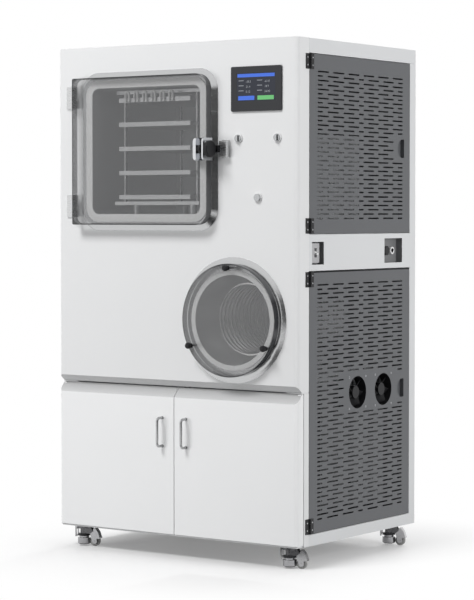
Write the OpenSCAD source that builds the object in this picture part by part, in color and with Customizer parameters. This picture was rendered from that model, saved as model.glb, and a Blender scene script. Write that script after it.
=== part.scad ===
// Freeze dryer on levelling casters: a steel cabinet with a square drying chamber behind a hinged
// clear door, a round ice condenser behind a clamped clear lid, and perforated service doors.
// Millimetres. X runs to the right seen from the front, Y into the machine and Z up.
// The origin is on the floor, under the middle of the machine's outline.

/* [Cabinet] */
// Width of the cabinet
cab_w = 1000; // [980:5:1100]
// Depth of the cabinet
cab_d = 750; // [740:5:850]
// Height of the cabinet above its casters
cab_h = 1665; // [1650:5:1800]
// Depth of the front cover
cover_d = 68; // [64:1:72]
// Radius of the front cover's upright corners
corner_r = 14; // [8:1:18]
// Thickness of the folded sheets
sheet = 2; // [1.5:0.1:2.5]
// Width of the frame's square tubes
tube = 38; // [34:1:42]
// Height of the rail under the side doors
base_rail = 38; // [30:1:45]
// Height of the roof's folded edge
roof_edge = 48.5; // [40:0.5:55]
// Width of the rear posts
rear_post = 39; // [34:1:45]
// Depth of the side openings that hold doors and panels
side_inset = 26; // [24:1:28]
// Thickness of the floor plate
floor_t = 4; // [3:0.5:5]
// Gap round a fixed panel
panel_gap = 0.5; // [0.3:0.1:0.8]

/* [Front doors] */
// Height of the groove between the cover and the doors, above the base
groove_h = 505; // [495:1:515]
// Height of the groove itself
groove_gap = 3; // [2.5:0.1:4]
// Depth of the groove's sloping faces
groove_d = 27; // [22:1:30]
// Height of the slope above the groove
slope_up = 22; // [16:1:28]
// Height of the slope below the groove
slope_down = 32; // [24:1:36]
// Thickness of the front doors
door_d = 36; // [34:1:38]
// Gap between the two front doors
door_split = 3; // [2:0.5:5]
// Gap under the front doors
door_lift = 2; // [1:0.5:3]
// Diameter of the pivot pins
pivot_d = 6; // [5:0.5:7]
// Distance of the pivots from the doors' outer and rear faces
pivot_in = 5; // [4:0.5:6]
// Distance between a handle's legs
handle_pitch = 96; // [64:32:160]
// Diameter of a handle's rod
handle_rod = 9; // [7:0.5:10]
// Clear space behind a handle
handle_reach = 24; // [20:1:30]
// Distance of a handle from the middle of the cabinet
handle_x = 50; // [40:1:70]
// Height of the handles above the base
handle_h = 352.6; // [300:1:380]

/* [Drying chamber] */
// Distance of the chamber's axis from the cabinet's left side
chamber_left = 394; // [385:1:400]
// Distance of the chamber's axis below the top of the cabinet
chamber_down = 359; // [350:1:370]
// Width of the chamber's mouth
mouth_w = 458; // [440:1:470]
// Height of the chamber's mouth
mouth_h = 430; // [420:1:440]
// Corner radius of the mouth
mouth_r = 26; // [20:1:32]
// Thickness of the vessels' walls
vessel_t = 6; // [4:0.5:8]
// Depth of the drying chamber behind the cover's face
chamber_d = 470; // [455:1:490]
// Width of the chamber flange beyond the mouth at each side
flange_side = 61.5; // [58:0.5:66]
// Width of the chamber flange above and below the mouth
flange_rise = 55.5; // [52:0.5:60]
// Corner radius of the chamber flange
flange_r = 75; // [60:1:80]
// Thickness of the chamber flange
flange_t = 15; // [13:0.5:16]
// Width of the flange's sloping edge
flange_slope = 18; // [14:1:20]
// Width of the chamber gasket
gasket_w = 27; // [20:1:29]
// Thickness of the chamber gasket
gasket_t = 4; // [3:0.5:5]

/* [Chamber door] */
// Thickness of the clear chamber door
pane_t = 24; // [20:1:26]
// Reach of the door to the left of the chamber's axis
pane_left = 299.5; // [297:0.5:304]
// Reach of the door to the right of the chamber's axis
pane_right = 275; // [270:0.5:280]
// Height of the door
pane_h = 502.4; // [495:0.1:510]
// Corner radius on the door's latch side
pane_r = 50; // [35:1:60]
// Distance of the hinge axis from the door's left edge
hinge_out = 15.5; // [13:0.5:17]
// Height of the door's hinges
hinge_h = 76; // [66:1:90]
// Distance of each hinge from the door's middle
hinge_rise = 187; // [160:1:200]
// Radius of the door's hinge pins
hinge_pin_r = 4; // [3:0.5:4.5]
// Radius of the door's hinge knuckles
knuckle_r = 7; // [6.5:0.5:8]

/* [Latch] */
// Height of the latch bracket
latch_h = 75; // [60:1:90]
// Diameter of the latch's hand knob
latch_knob_d = 56; // [48:1:58]
// Radius of the latch's shaft
latch_shaft_r = 5; // [4:0.5:6]
// Distance of the latch's shaft in front of the door
latch_out = 20; // [19:1:26]
// Height of the keeper on the cover
keeper_h = 60; // [50:1:70]
// Width of the keeper's block
keeper_w = 30; // [26:1:34]

/* [Shelves] */
// Number of shelves
shelf_count = 5; // [3:1:5]
// Width of a shelf
shelf_w = 304; // [280:1:320]
// Depth of a shelf
shelf_d = 400; // [360:1:405]
// Thickness of a shelf
shelf_t = 15; // [12:1:16]
// Distance from one shelf to the next
shelf_pitch = 82.9; // [80:0.1:84]
// Height of the top shelf above the chamber's axis
shelf_top = 174.7; // [172:0.1:178]
// Distance of the shelves behind the cover's face
shelf_back = 32; // [28:1:36]
// Number of hoses above the shelves
hose_count = 6; // [3:1:7]
// Diameter of the hoses above the shelves
hose_d = 8; // [6:1:9]

/* [Ice condenser] */
// Distance of the condenser's axis from the cabinet's right side
condenser_right = 252; // [248:1:256]
// Height of the condenser's axis above the base
condenser_h = 740; // [735:1:750]
// Radius of the condenser's mouth
cold_r = 150; // [146:1:152]
// Depth of the condenser vessel behind the cover's face
condenser_d = 440; // [430:1:455]
// Outer radius of the condenser's flange
cold_flange_r = 209; // [206:1:212]
// Thickness of the condenser's flange
cold_flange_t = 8; // [7:0.5:10]
// Radius of the clear lid
lid_r = 188; // [185:1:190]
// Thickness of the clear lid
lid_t = 24; // [18:1:26]
// Radius of the circle on which the lid's knobs stand
lid_bolt_r = 174; // [172:0.5:176]
// Radius of a lid screw
lid_screw_r = 4; // [3:0.5:4.5]
// Width of the lid's gasket
lid_gasket_w = 17; // [12:1:18]
// Thickness of the lid's gasket
lid_gasket_t = 3; // [2.5:0.5:4]
// Mean radius of the cooling coil
coil_r = 120; // [112:1:126]
// Diameter of the coil's tube
coil_tube_d = 10; // [8:0.5:12]
// Distance between the coil's turns
coil_pitch = 22; // [18:1:24]
// Number of turns in the coil
coil_turns = 14; // [8:1:14]
// Distance of the first turn behind the cover's face
coil_back = 78; // [70:1:90]

/* [Side doors] */
// Height of the service band's lower edge above the base
band_low = 905; // [900:1:910]
// Height of the service band
band_h = 119.5; // [112:0.5:128]
// Gap round a side door
side_gap = 2; // [1.5:0.1:3]
// Depth of a side door's folded edge
side_fold = 20; // [16:1:22]
// Length of a ventilation slot
slot_l = 67; // [60:1:70]
// Height of a ventilation slot
slot_h = 5; // [4:0.5:6]
// Distance between two rows of slots
slot_pitch = 14.6; // [13:0.1:16]
// Plain metal between two slots of a row
slot_gap = 28; // [24:1:32]
// Height of a finger pull
pull_h = 65; // [55:1:75]
// Width of a finger pull
pull_w = 43; // [36:1:46]
// Height of a side door's hinge
leaf_h = 50; // [44:1:56]
// Width of a side door's hinge
leaf_w = 46; // [40:2:48]

/* [Fans] */
// Width of a fan's frame
fan_w = 120; // [116:1:124]
// Depth of a fan
fan_d = 36; // [30:1:36]
// Diameter of the air holes in the door
fan_hole = 110; // [104:1:112]
// Distance of the first fan's axis behind the front
fan_y = 369.5; // [360:0.5:380]
// Distance between the two fans
fan_pitch = 166.5; // [160:0.5:175]
// Height of the fans' axes above the base
fan_h = 488.5; // [480:0.5:496]
// Number of blades on a fan
fan_blades = 7; // [5:1:9]

/* [Controls] */
// Distance of the touch screen's middle from the cabinet's right side
screen_right = 160; // [155:1:165]
// Distance of the touch screen's middle below the top
screen_down = 163.5; // [155:0.5:170]
// Width of the touch screen
screen_w = 200; // [180:1:210]
// Height of the touch screen
screen_h = 147; // [135:1:160]
// Width of the lit display
display_w = 154; // [140:1:160]
// Height of the lit display
display_h = 92; // [84:1:100]
// Diameter of the control collars
control_d = 30; // [28:1:32]
// Diameter of the control knobs
control_knob_d = 24; // [22:1:25]
// Travel of the push button
button_travel = 4; // [3:0.5:4.5]

/* [Casters] */
// Height of the casters
caster_h = 75; // [74:1:80]
// Distance of the casters from the cabinet's sides
caster_side = 65; // [60:1:70]
// Distance of the front casters from the front
caster_front = 55; // [50:1:62]
// Distance of the rear casters from the rear
caster_rear = 65; // [60:1:75]
// Width of a caster's top plate
caster_plate = 58; // [54:1:62]
// Distance between the holes of a caster's plate
caster_holes = 44; // [40:1:46]
// Radius of a caster's wheel
wheel_r = 17.5; // [16.5:0.5:18.5]
// Width of a caster's wheel
wheel_w = 18; // [14:1:20]
// Diameter of the levelling foot
foot_d = 46; // [40:1:48]
// Height of the raised foot above the floor
foot_clear = 6; // [4:0.5:8]

/* [Hidden] */

// Colours
white = [0.9, 0.91, 0.92];
light = [0.82, 0.83, 0.84];
grey = [0.43, 0.44, 0.46];
dark = [0.12, 0.12, 0.13];
steel = [0.72, 0.73, 0.75];
clear = [0.45, 0.47, 0.5, 0.5];

// Clearances
eps = 0.01;           // overlap that joins two pieces of one solid
weld = 0.1;           // gap between the frame's members at a joint
run = 0.05;           // radial clearance of a pin in its bore
slide_gap = 0.25;     // radial clearance of a loose screw or stem
seat_gap = 0.2;       // gap between a closed door and its gasket

// Cabinet levels and planes
half_w = cab_w / 2;
base_z = caster_h;
top_z = base_z + cab_h;
floor_z = base_z + floor_t;
groove_z = base_z + groove_h;
cover_z = groove_z + groove_gap;
band_z = base_z + band_low;
side_x = half_w - side_inset;
side_low = base_z + base_rail;
side_high = top_z - roof_edge;
front_post_x = side_x - tube;
deck_z = band_z + 120;
deck_t = 3;
beam_z = base_z + 510;
floor_in = 6;

// Drying chamber
chamber_x = chamber_left - half_w;
chamber_z = top_z - chamber_down;
flange_w = mouth_w + 2 * flange_side;
flange_h = mouth_h + 2 * flange_rise;
pane_back = flange_t + gasket_t + seat_gap;
pane_front = pane_back + pane_t;
pane_x0 = chamber_x - pane_left;
pane_x1 = chamber_x + pane_right;
hinge_x = pane_x0 - hinge_out;
hinge_y = -pane_back;
vessel_r = mouth_r + vessel_t;
port_r = 26;

// Latch
latch_plate_t = 4;
latch_side_t = 6;
latch_side_x = pane_x1 + latch_side_t;
latch_y = -pane_front - latch_out;
latch_collar_d = 2 * (latch_out - latch_plate_t - 1);   // turns just clear of the front plate
latch_knob_x = latch_side_x + 13;
keeper_x = chamber_x + flange_w / 2 + 19;
tongue_h = 24;

// Condenser
cold_x = half_w - condenser_right;
cold_z = base_z + condenser_h;
lid_back = cold_flange_t + lid_gasket_t + seat_gap;
lid_front = lid_back + lid_t;
lid_angles = [90, 210, 330];

// Side doors
side_y0 = cover_d + side_gap;
side_y1 = cab_d - rear_post - side_gap;
side_pivot = [half_w + 4.5, cover_d + 2];
lower_door = [side_low + side_gap, band_z - side_gap];
upper_door = [band_z + band_h + side_gap, side_high - side_gap];
knuckle_side_r = 4;
hinge_inset = 26;

// Casters: x, y and the wheel's bearing about the swivel, in a fixed order
caster_spots = [
  [-half_w + caster_side, caster_front], [half_w - caster_side, caster_front],
  [-half_w + caster_side, cab_d - caster_rear], [half_w - caster_side, cab_d - caster_rear]];
caster_turn = 20;
caster_trail = foot_d / 2 + wheel_r + 1;   // the wheel runs just clear of the foot
plate_t = 4;
swivel_z = base_z - plate_t;

// The outline reaches past the cabinet at the latch and at the side hinges
front_reach = -latch_y + latch_knob_d / 2;
side_reach = side_pivot[0] + knuckle_side_r - half_w;
module place() translate([-side_reach / 2, (front_reach - cab_d) / 2, 0]) children();

// ---------------------------------------------------------------- shared shapes

// Rounded rectangle about the origin, made of true arcs
module rounded(w, h, r) {
  square([w - 2 * r, h], center = true);
  square([w, h - 2 * r], center = true);
  for (sx = [-1, 1], sy = [-1, 1])
    translate([sx * (w / 2 - r), sy * (h / 2 - r)]) circle(r, $fn = 48);
}

// Extrudes a shape drawn in X and Z along Y, from y0 to y1
module along_y(y0, y1) translate([0, y1, 0]) rotate([90, 0, 0]) linear_extrude(y1 - y0) children();

// Extrudes a shape drawn in Y and Z along X, from x0 to x1
module along_x(x0, x1) translate([x0, 0, 0]) rotate([90, 0, 90]) linear_extrude(x1 - x0) children();

// Box from one corner to the other
module block(a, b) translate(a) cube(b - a);

// Round bar along Y, X or Z between two places
module rod_y(x, z, r, y0, y1, n = 32)
  translate([x, y0, z]) rotate([-90, 0, 0]) cylinder(r = r, h = y1 - y0, $fn = n);
module rod_x(y, z, r, x0, x1, n = 32)
  translate([x0, y, z]) rotate([0, 90, 0]) cylinder(r = r, h = x1 - x0, $fn = n);
module rod_z(x, y, r, z0, z1, n = 32)
  translate([x, y, z0]) cylinder(r = r, h = z1 - z0, $fn = n);

// Mirrored copy on the other side of the cabinet
module both_sides() {
  children();
  mirror([1, 0, 0]) children();
}

// Round tube between two points
module pipe(a, b, r) {
  d = b - a;
  translate(a) rotate([0, acos(d[2] / norm(d)), atan2(d[1], d[0])]) cylinder(r = r, h = norm(d), $fn = 32);
}

// Tubes along a path, with a welded elbow at each bend
module pipe_run(points, r) {
  for (i = [0 : len(points) - 2]) pipe(points[i], points[i + 1], r);
  for (i = [1 : len(points) - 2]) translate(points[i]) sphere(r * 1.1, $fn = 32);
}

// ---------------------------------------------------------------- cabinet

// Square steel tubes with a cable hole in one wall
module tube_x(a, b) difference() {
  block(a, b);
  block(a + [-1, tube_wall, tube_wall], b + [1, -tube_wall, -tube_wall]);
  rod_y((a[0] + b[0]) / 2 + 60, (a[2] + b[2]) / 2, 6, a[1] - 1, a[1] + tube_wall + 1, 24);
}
module tube_y(a, b) difference() {
  block(a, b);
  block(a + [tube_wall, -1, tube_wall], b + [-tube_wall, 1, -tube_wall]);
  rod_x((a[1] + b[1]) / 2 + 25, (a[2] + b[2]) / 2, 6, a[0] - 1, a[0] + tube_wall + 1, 24);
}
// Upright tube, open at its head
module tube_z(a, b) difference() {
  block(a, b);
  block(a + [tube_wall, tube_wall, tube_wall], b + [-tube_wall, -tube_wall, 1]);
}

// Bracket above a front door with its upper pivot pin, and the lower pin on the floor plate
module door_pivots() {
  px = half_w - pivot_in;
  py = door_d - pivot_in;
  block([half_w - 60, py - 6, groove_z + weld], [half_w - 1, cover_d - weld, groove_z + groove_gap - 0.5]);
  rod_z(px, py, pivot_d / 2, groove_z - 13, groove_z);
  rod_z(px, py, pivot_d / 2, floor_z + weld, floor_z + 16);
}

breaker_pocket = [[86, 157], [20, 95]];
valve_pocket = [[542, 660], [18.5, 102.5]];
module pocket_block(spans, grow, x0, x1) block([x0, spans[0][0] - grow, band_z + spans[1][0] - grow],
  [x1, spans[0][1] + grow, band_z + spans[1][1] + grow]);

// Folded band between the side doors, with two pockets pressed into it
module service_band() difference() {
  union() {
    difference() {
      block([side_x + weld, cover_d, band_z], [half_w, cab_d - rear_post - weld, band_z + band_h]);
      block([side_x - 1, cover_d + 4, band_z + sheet],
        [half_w - sheet, cab_d - rear_post - 4, band_z + band_h - sheet]);
    }
    for (spans = [breaker_pocket, valve_pocket])
      pocket_block(spans, sheet, side_x + weld, half_w - 0.5);
  }
  for (spans = [breaker_pocket, valve_pocket])
    pocket_block(spans, 0, side_x + sheet, half_w + 1);
  rod_x(valve_y, pocket_z, 5 + run, side_x - 1, half_w, 32);
  rod_x(port_y, pocket_z, port_bore + 2.6, side_x - 1, half_w, 48);
}
pocket_z = band_z + 60;
valve_y = 574;
port_y = 622;
port_bore = 7.5;

// The members are apart by the width of a weld's root, so each is a solid of its own
module cabinet_frame() color(light) difference() {
  union() {
    difference() {
      union() {
        block([-half_w + floor_in, floor_in, base_z], [half_w - floor_in, door_d + 3 - weld, floor_z]);
        block([-side_x + weld, floor_in, base_z], [side_x - weld, cab_d - rear_post - weld, floor_z]);
      }
      both_sides() block([half_w - 60 - weld, door_d + 3 - weld, base_z - 1], [half_w, cover_d, floor_z + 1]);
    }
    both_sides() {
      tube_z([half_w - 60, door_d + 3, base_z], [half_w, cover_d - weld, groove_z]);
      tube_z([front_post_x, cover_d, floor_z + weld], [side_x, cover_d + tube, side_high]);
      tube_y([side_x + weld, cover_d, base_z], [half_w, cab_d - rear_post - weld, side_low]);
      tube_z([half_w - rear_post, cab_d - rear_post, base_z], [half_w, cab_d, side_high]);
      tube_y([front_post_x, cover_d + tube + weld, deck_z - tube],
        [side_x, cab_d - rear_post - weld, deck_z]);
      door_pivots();
    }
    service_band();
    // Cross tubes behind the front cover and between the rear posts
    for (z = [beam_z, side_high - tube])
      tube_x([-front_post_x + weld, cover_d, z], [front_post_x - weld, cover_d + tube, z + tube]);
    for (z = [base_z, beam_z, side_high - tube])
      tube_x([-half_w + rear_post + weld, cab_d - rear_post, z],
        [half_w - rear_post - weld, cab_d - sheet - 18, z + tube]);
    // Beams under the ice condenser
    for (s = [-1, 1])
      tube_y([cold_x + s * 95 - tube / 2, cover_d + tube + weld, beam_z],
        [cold_x + s * 95 + tube / 2, cab_d - rear_post - weld, beam_z + tube]);
  }
  for (spot = caster_spots, sx = [-1, 1], sy = [-1, 1])
    rod_z(spot[0] + sx * caster_holes / 2, spot[1] + sy * caster_holes / 2, 3.2,
      base_z - 1, floor_z + weld / 2, 24);
}
tube_wall = 2;

// Side view of the front cover, drawn inset by t: a straight face with a slope at its foot
module cover_profile(t) {
  a = atan(groove_d / slope_up);
  polygon([[t, cover_z + slope_up + t * tan(a / 2)], [t, top_z - t], [cover_d - t, top_z - t],
    [cover_d - t, cover_z + t], [groove_d + t * tan((90 - a) / 2), cover_z + t]]);
}

module cover_solid(t) intersection() {
  along_x(-half_w + t, half_w - t) cover_profile(t);
  translate([0, 0, cover_z - 1]) linear_extrude(cab_h) difference() {
    translate([-half_w + t, t]) square([cab_w - 2 * t, cover_d - 2 * t]);
    for (s = [-1, 1]) translate([s * (half_w - corner_r), corner_r]) difference() {
      translate([s > 0 ? 0 : -corner_r, -corner_r]) square(corner_r);
      circle(corner_r - t, $fn = 64);
    }
  }
}

control_spots = [[-233, -325], [-78, -325], [-155, -520]];
function control_x(i) = half_w + control_spots[i][0];
function control_z(i) = top_z + control_spots[i][1];
collar_h = 5;
stem_r = 6;

module front_cover() color(white) difference() {
  union() {
    difference() {
      cover_solid(0);
      cover_solid(sheet);
      block([-half_w + 42, cover_d - sheet - 1, cover_z + 24],
        [half_w - 42, cover_d + 1, top_z - 24]);
    }
    for (i = [0 : 2]) rod_y(control_x(i), control_z(i), control_d / 2, -collar_h, 1, 48);
  }
  along_y(-1, sheet + 1) translate([chamber_x, chamber_z])
    rounded(mouth_w + 2 * vessel_t + 3, mouth_h + 2 * vessel_t + 3, vessel_r + 1.5);
  rod_y(cold_x, cold_z, cold_r + vessel_t + 1.5, -1, sheet + 1, 96);
  along_y(-1, sheet + 1) translate([screen_x, screen_z]) square(screen_body + [1, 1], center = true);
  for (i = [0 : 2]) {
    rod_y(control_x(i), control_z(i), control_knob_d / 2 + 0.3, -collar_h - 1, 0, 48);
    rod_y(control_x(i), control_z(i), stem_r + run, -1, sheet + 1, 32);
  }
}

// Roof: a folded tray whose edges stand above the side doors
module roof() color(light) difference() {
  block([-half_w, cover_d + panel_gap, side_high], [half_w, cab_d, top_z]);
  block([-half_w + sheet, cover_d, side_high - 1], [half_w - sheet, cab_d - sheet, top_z - sheet]);
}

// Folded tray panel that lies in the X-Z plane, its face at the rear
module left_panel() color(light) difference() {
  block([-half_w, cover_d + panel_gap, side_low + panel_gap],
    [-side_x, cab_d - rear_post - panel_gap, side_high - panel_gap]);
  block([-half_w + sheet, cover_d + panel_gap + sheet, side_low + panel_gap + sheet],
    [-side_x + 1, cab_d - rear_post - panel_gap - sheet, side_high - panel_gap - sheet]);
}

rear_x = half_w - rear_post - panel_gap;
module rear_panel() color(light) difference() {
  block([-rear_x, cab_d - sheet - 16, base_z + tube + panel_gap], [rear_x, cab_d, side_high - panel_gap]);
  block([-rear_x + sheet, cab_d - sheet - 17, base_z + tube + panel_gap + sheet],
    [rear_x - sheet, cab_d - sheet, side_high - panel_gap - sheet]);
  for (side = [-1, 1], i = [0 : 11])
    translate([side * 210, 0, base_z + 130 + 24 * i]) along_y(cab_d - sheet - 1, cab_d + 1)
      rounded(200, 6, 2.9);
}

duct_x = 60;
duct_y = 560;
module equipment_deck() color(steel) difference() {
  block([-side_x + 1, cover_d + tube + panel_gap, deck_z],
    [side_x - 1, cab_d - rear_post - 10, deck_z + deck_t]);
  block([duct_x - 30, duct_y - 50, deck_z - 1], [duct_x + 120, duct_y + 50, deck_z + deck_t + 1]);
}

// ---------------------------------------------------------------- drying chamber

module mouth_outline(grow) rounded(mouth_w + 2 * grow, mouth_h + 2 * grow, mouth_r + grow);

module chamber_flange() difference() {
  hull() {
    along_y(-2, 0) rounded(flange_w, flange_h, flange_r);
    along_y(-flange_t, -2) rounded(flange_w - 2 * flange_slope, flange_h - 2 * flange_slope,
      flange_r - flange_slope);
  }
  along_y(-flange_t - 1, 1) mouth_outline(0);
}

module drying_chamber() color(steel) translate([chamber_x, 0, chamber_z]) difference() {
  union() {
    chamber_flange();
    difference() {
      along_y(-eps, chamber_d) mouth_outline(vessel_t);
      along_y(-1, chamber_d - vessel_t) mouth_outline(0);
    }
    // Feet that stand on the deck
    for (x = [-150, 150], y = [140, 380])
      block([x - 25, y - 15, deck_z + deck_t - chamber_z], [x + 25, y + 15, -mouth_h / 2 - vessel_t + 1]);
    // Stiffening bands round the vessel
    for (y = [60, 250, 440]) difference() {
      along_y(y - 6, y + 6) mouth_outline(vessel_t + 10);
      along_y(y - 7, y + 7) mouth_outline(vessel_t - 1);
    }
    rod_y(duct_x - chamber_x, duct_z1 - chamber_z, port_r + 5, chamber_d - 1, chamber_d + 24, 48);
  }
  rod_y(duct_x - chamber_x, duct_z1 - chamber_z, port_r, chamber_d - vessel_t - 1, chamber_d + 25, 48);
}
duct_z1 = chamber_z - 130;

module chamber_gasket() color(white) translate([chamber_x, 0, chamber_z])
  along_y(-flange_t - gasket_t, -flange_t) difference() {
    mouth_outline(gasket_w);
    mouth_outline(0);
  }

// ---------------------------------------------------------------- shelves

function shelf_z(i) = chamber_z + shelf_top - i * shelf_pitch;
rack_base_z = chamber_z - 178;
rack_foot = 12;

module shelf_rack() color(steel) {
  for (i = [0 : shelf_count - 1]) {
    block([chamber_x - shelf_w / 2, shelf_back, shelf_z(i) - shelf_t / 2],
      [chamber_x + shelf_w / 2, shelf_back + shelf_d, shelf_z(i) + shelf_t / 2]);
  }
  // Hanging rods at the shelves' corners, from the top bars to the base plate
  for (x = [-1, 1], y = [40, shelf_d - 40])
    rod_z(chamber_x + x * (shelf_w / 2 + 2), shelf_back + y, 6, rack_base_z, rack_top);
  for (y = [40, shelf_d - 40])
    block([chamber_x - shelf_w / 2 - 30, shelf_back + y - 15, rack_top - 12],
      [chamber_x + shelf_w / 2 + 30, shelf_back + y + 15, rack_top]);
  block([chamber_x - shelf_w / 2 - 12, shelf_back - 8, rack_base_z - 6],
    [chamber_x + shelf_w / 2 + 42, shelf_back + shelf_d, rack_base_z + 6]);
  for (x = [-120, 120], y = [60, shelf_d - 60])
    rod_z(chamber_x + x, shelf_back + y, rack_foot, chamber_z - mouth_h / 2, rack_base_z);
}
rack_top = chamber_z + mouth_h / 2 - 6;

hose_pitch = 37.3;
module shelf_hoses() color(light) for (i = [0 : hose_count - 1]) {
  x = chamber_x - 94 + (i - (hose_count - 1) / 2 + 1) * hose_pitch + hose_pitch;
  y = shelf_back - hose_d / 2 - 0.1;
  r = 7;
  top = rack_top - 2 - hose_d / 2 - r;
  for (s = [-1, 1]) rod_z(x + s * r, y, hose_d / 2, shelf_z(0) - shelf_t / 2 + 1, top);
  translate([x, y, top]) rotate([90, 0, 0])
    rotate_extrude(angle = 180, $fn = 32) translate([r, 0]) circle(hose_d / 2, $fn = 24);
}

// ---------------------------------------------------------------- ice condenser

module condenser_vessel() color(steel) {
  vessel_r = cold_r + vessel_t;
  difference() {
    union() {
      rod_y(cold_x, cold_z, vessel_r, -1, condenser_d, 96);
      rod_y(cold_x, cold_z, cold_flange_r, -1, 0, 96);
      translate([cold_x, -1 + eps, cold_z]) rotate([90, 0, 0])
        cylinder(r1 = cold_flange_r, r2 = lid_r + 3, h = cold_flange_t - 1 + eps, $fn = 96);
      // Saddles on the two beams
      for (s = [-1, 1], y = [130, 350])
        block([cold_x + s * 95 - 16, y - 15, beam_z + tube], [cold_x + s * 95 + 16, y + 15, cold_z - 110]);
      rod_y(duct_end_x, duct_end_z, port_r + 5, condenser_d - 1, condenser_d + 24, 48);
      rod_y(cold_x, cold_z - 90, 20, condenser_d - 1, condenser_d + 24, 48);
    }
    rod_y(cold_x, cold_z, cold_r, -cold_flange_t - 1, condenser_d - vessel_t, 96);
    rod_y(duct_end_x, duct_end_z, port_r, condenser_d - 10, condenser_d + 25, 48);
    rod_y(cold_x, cold_z - 90, 16, condenser_d - 10, condenser_d + 25, 48);
    for (a = lid_angles) rod_y(cold_x + lid_bolt_r * cos(a), cold_z + lid_bolt_r * sin(a),
      lid_screw_r + slide_gap, -cold_flange_t - 1, -1.5, 24);
  }
}
duct_end_x = cold_x;
duct_end_z = cold_z;

module condenser_gasket() color(white) difference() {
  rod_y(cold_x, cold_z, cold_r + lid_gasket_w, -cold_flange_t - lid_gasket_t, -cold_flange_t, 96);
  rod_y(cold_x, cold_z, cold_r, -cold_flange_t - lid_gasket_t - 1, 0, 96);
}

// Tube swept along a helix about the Y axis
coil_steps = 24;
coil_sides = 6;
coil_end = coil_back + coil_turns * coil_pitch;

module helix_tube() {
  steps = coil_turns * coil_steps;
  rings = [for (i = [0 : steps]) let (a = 360 * i / coil_steps, y = coil_back + coil_pitch * i / coil_steps)
    for (k = [0 : coil_sides - 1]) let (b = 360 * k / coil_sides, r = coil_r + coil_tube_d / 2 * cos(b))
      [r * cos(a), y + coil_tube_d / 2 * sin(b), r * sin(a)]];
  sides = [for (i = [0 : steps - 1], k = [0 : coil_sides - 1]) let (n = (k + 1) % coil_sides)
    [(i + 1) * coil_sides + k, (i + 1) * coil_sides + n, i * coil_sides + n, i * coil_sides + k]];
  first = [for (k = [0 : coil_sides - 1]) k];
  last = [for (k = [coil_sides - 1 : -1 : 0]) steps * coil_sides + k];
  polyhedron(points = rings, faces = concat([first, last], sides), convexity = 20);
}

// Straight stretch of tube, and the ball that joins it to the next
module coil_tail(a, b) {
  d = b - a;
  translate(a) rotate([0, acos(d[2] / norm(d)), atan2(d[1], d[0])])
    cylinder(d = coil_tube_d, h = norm(d), $fn = 12);
  for (p = [a, b]) translate(p) sphere(d = coil_tube_d + 2, $fn = 12);
}

module cooling_coil() color(steel) translate([cold_x, 0, cold_z]) {
  back = condenser_d - vessel_t;
  inner = coil_r - coil_tube_d - 10;
  helix_tube();
  coil_tail([coil_r, coil_end, 0], [coil_r, back - 8, 0]);
  coil_tail([coil_r, coil_back, 0], [inner, coil_back - 6, 0]);
  coil_tail([inner, coil_back - 6, 0], [inner, back - 8, 0]);
  for (x = [coil_r, inner]) rod_y(x, 0, coil_tube_d / 2 + 3, back - 14, back, 12);
}

// ---------------------------------------------------------------- chamber door and latch

// Hinge knuckles: three in a row on each hinge, the middle one on the door
module chamber_hinge_bases() color(light) for (s = [-1, 1]) translate([0, 0, chamber_z + s * hinge_rise]) {
  third = hinge_h / 3;
  block([hinge_x - 39, -5, -hinge_h / 2], [hinge_x + knuckle_r, 0, hinge_h / 2]);
  rod_z(hinge_x, hinge_y, hinge_pin_r, -hinge_h / 2, hinge_h / 2);
  for (e = [-1, 1]) translate([0, 0, e * third]) {
    rod_z(hinge_x, hinge_y, knuckle_r, -third / 2 + 0.5, third / 2);
    block([hinge_x - knuckle_r, hinge_y, -third / 2 + 0.5], [hinge_x + knuckle_r, -4, third / 2]);
  }
}

module chamber_hinge_leaves() color(steel) for (s = [-1, 1]) translate([0, 0, chamber_z + s * hinge_rise])
  difference() {
    third = hinge_h / 3;
    union() {
      rod_z(hinge_x, hinge_y, knuckle_r, -third / 2 + 0.5, third / 2 - 0.5);
      block([hinge_x, hinge_y - knuckle_r, -third / 2 + 0.5], [pane_x0 - 2, hinge_y - 0.5, third / 2 - 0.5]);
      block([pane_x0 - 4.5, -pane_front, -hinge_h / 2], [pane_x0, hinge_y - 0.5, hinge_h / 2]);
    }
    rod_z(hinge_x, hinge_y, hinge_pin_r + run, -hinge_h, hinge_h);
  }

module chamber_door() color(clear) along_y(-pane_front, -pane_back) translate([0, chamber_z]) {
  mid = (pane_x0 + pane_x1) / 2;
  width = pane_x1 - pane_x0;
  translate([mid, 0]) intersection() {
    rounded(width, pane_h, pane_r);
    square([width + 2, pane_h + 2], center = true);
  }
  translate([pane_x0 + width / 4, 0]) rounded(width / 2, pane_h, 6);
}

module latch_bracket() color(steel) translate([0, 0, chamber_z]) difference() {
  x0 = pane_x1 - 55;
  union() {
    // Front plate with a rounded end, and the side plate that wraps the door's edge
    along_y(-pane_front - latch_plate_t, -pane_front) {
      translate([x0 + 14, 0]) rounded(28, latch_h, 12);
      translate([x0 + 14, -latch_h / 2]) square([latch_side_x - x0 - 14, latch_h]);
    }
    block([pane_x1, -pane_front - latch_plate_t, -latch_h / 2], [latch_side_x, -pane_back - 2, latch_h / 2]);
    // Two cheeks that carry the shaft
    for (x = [x0 + 26, pane_x1])
      along_x(x, x + latch_side_t) translate([-pane_front - latch_plate_t + eps, 0])
        mirror([1, 0]) cheek_outline();
    // Tongue that lies in the keeper
    block([latch_side_x - eps, -pane_back - 12, -tongue_h / 2],
      [keeper_x + 12, -flange_t - 1.2, tongue_h / 2]);
  }
  rod_x(latch_y, 0, latch_shaft_r + run, x0, latch_side_x + 1);
}

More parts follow.
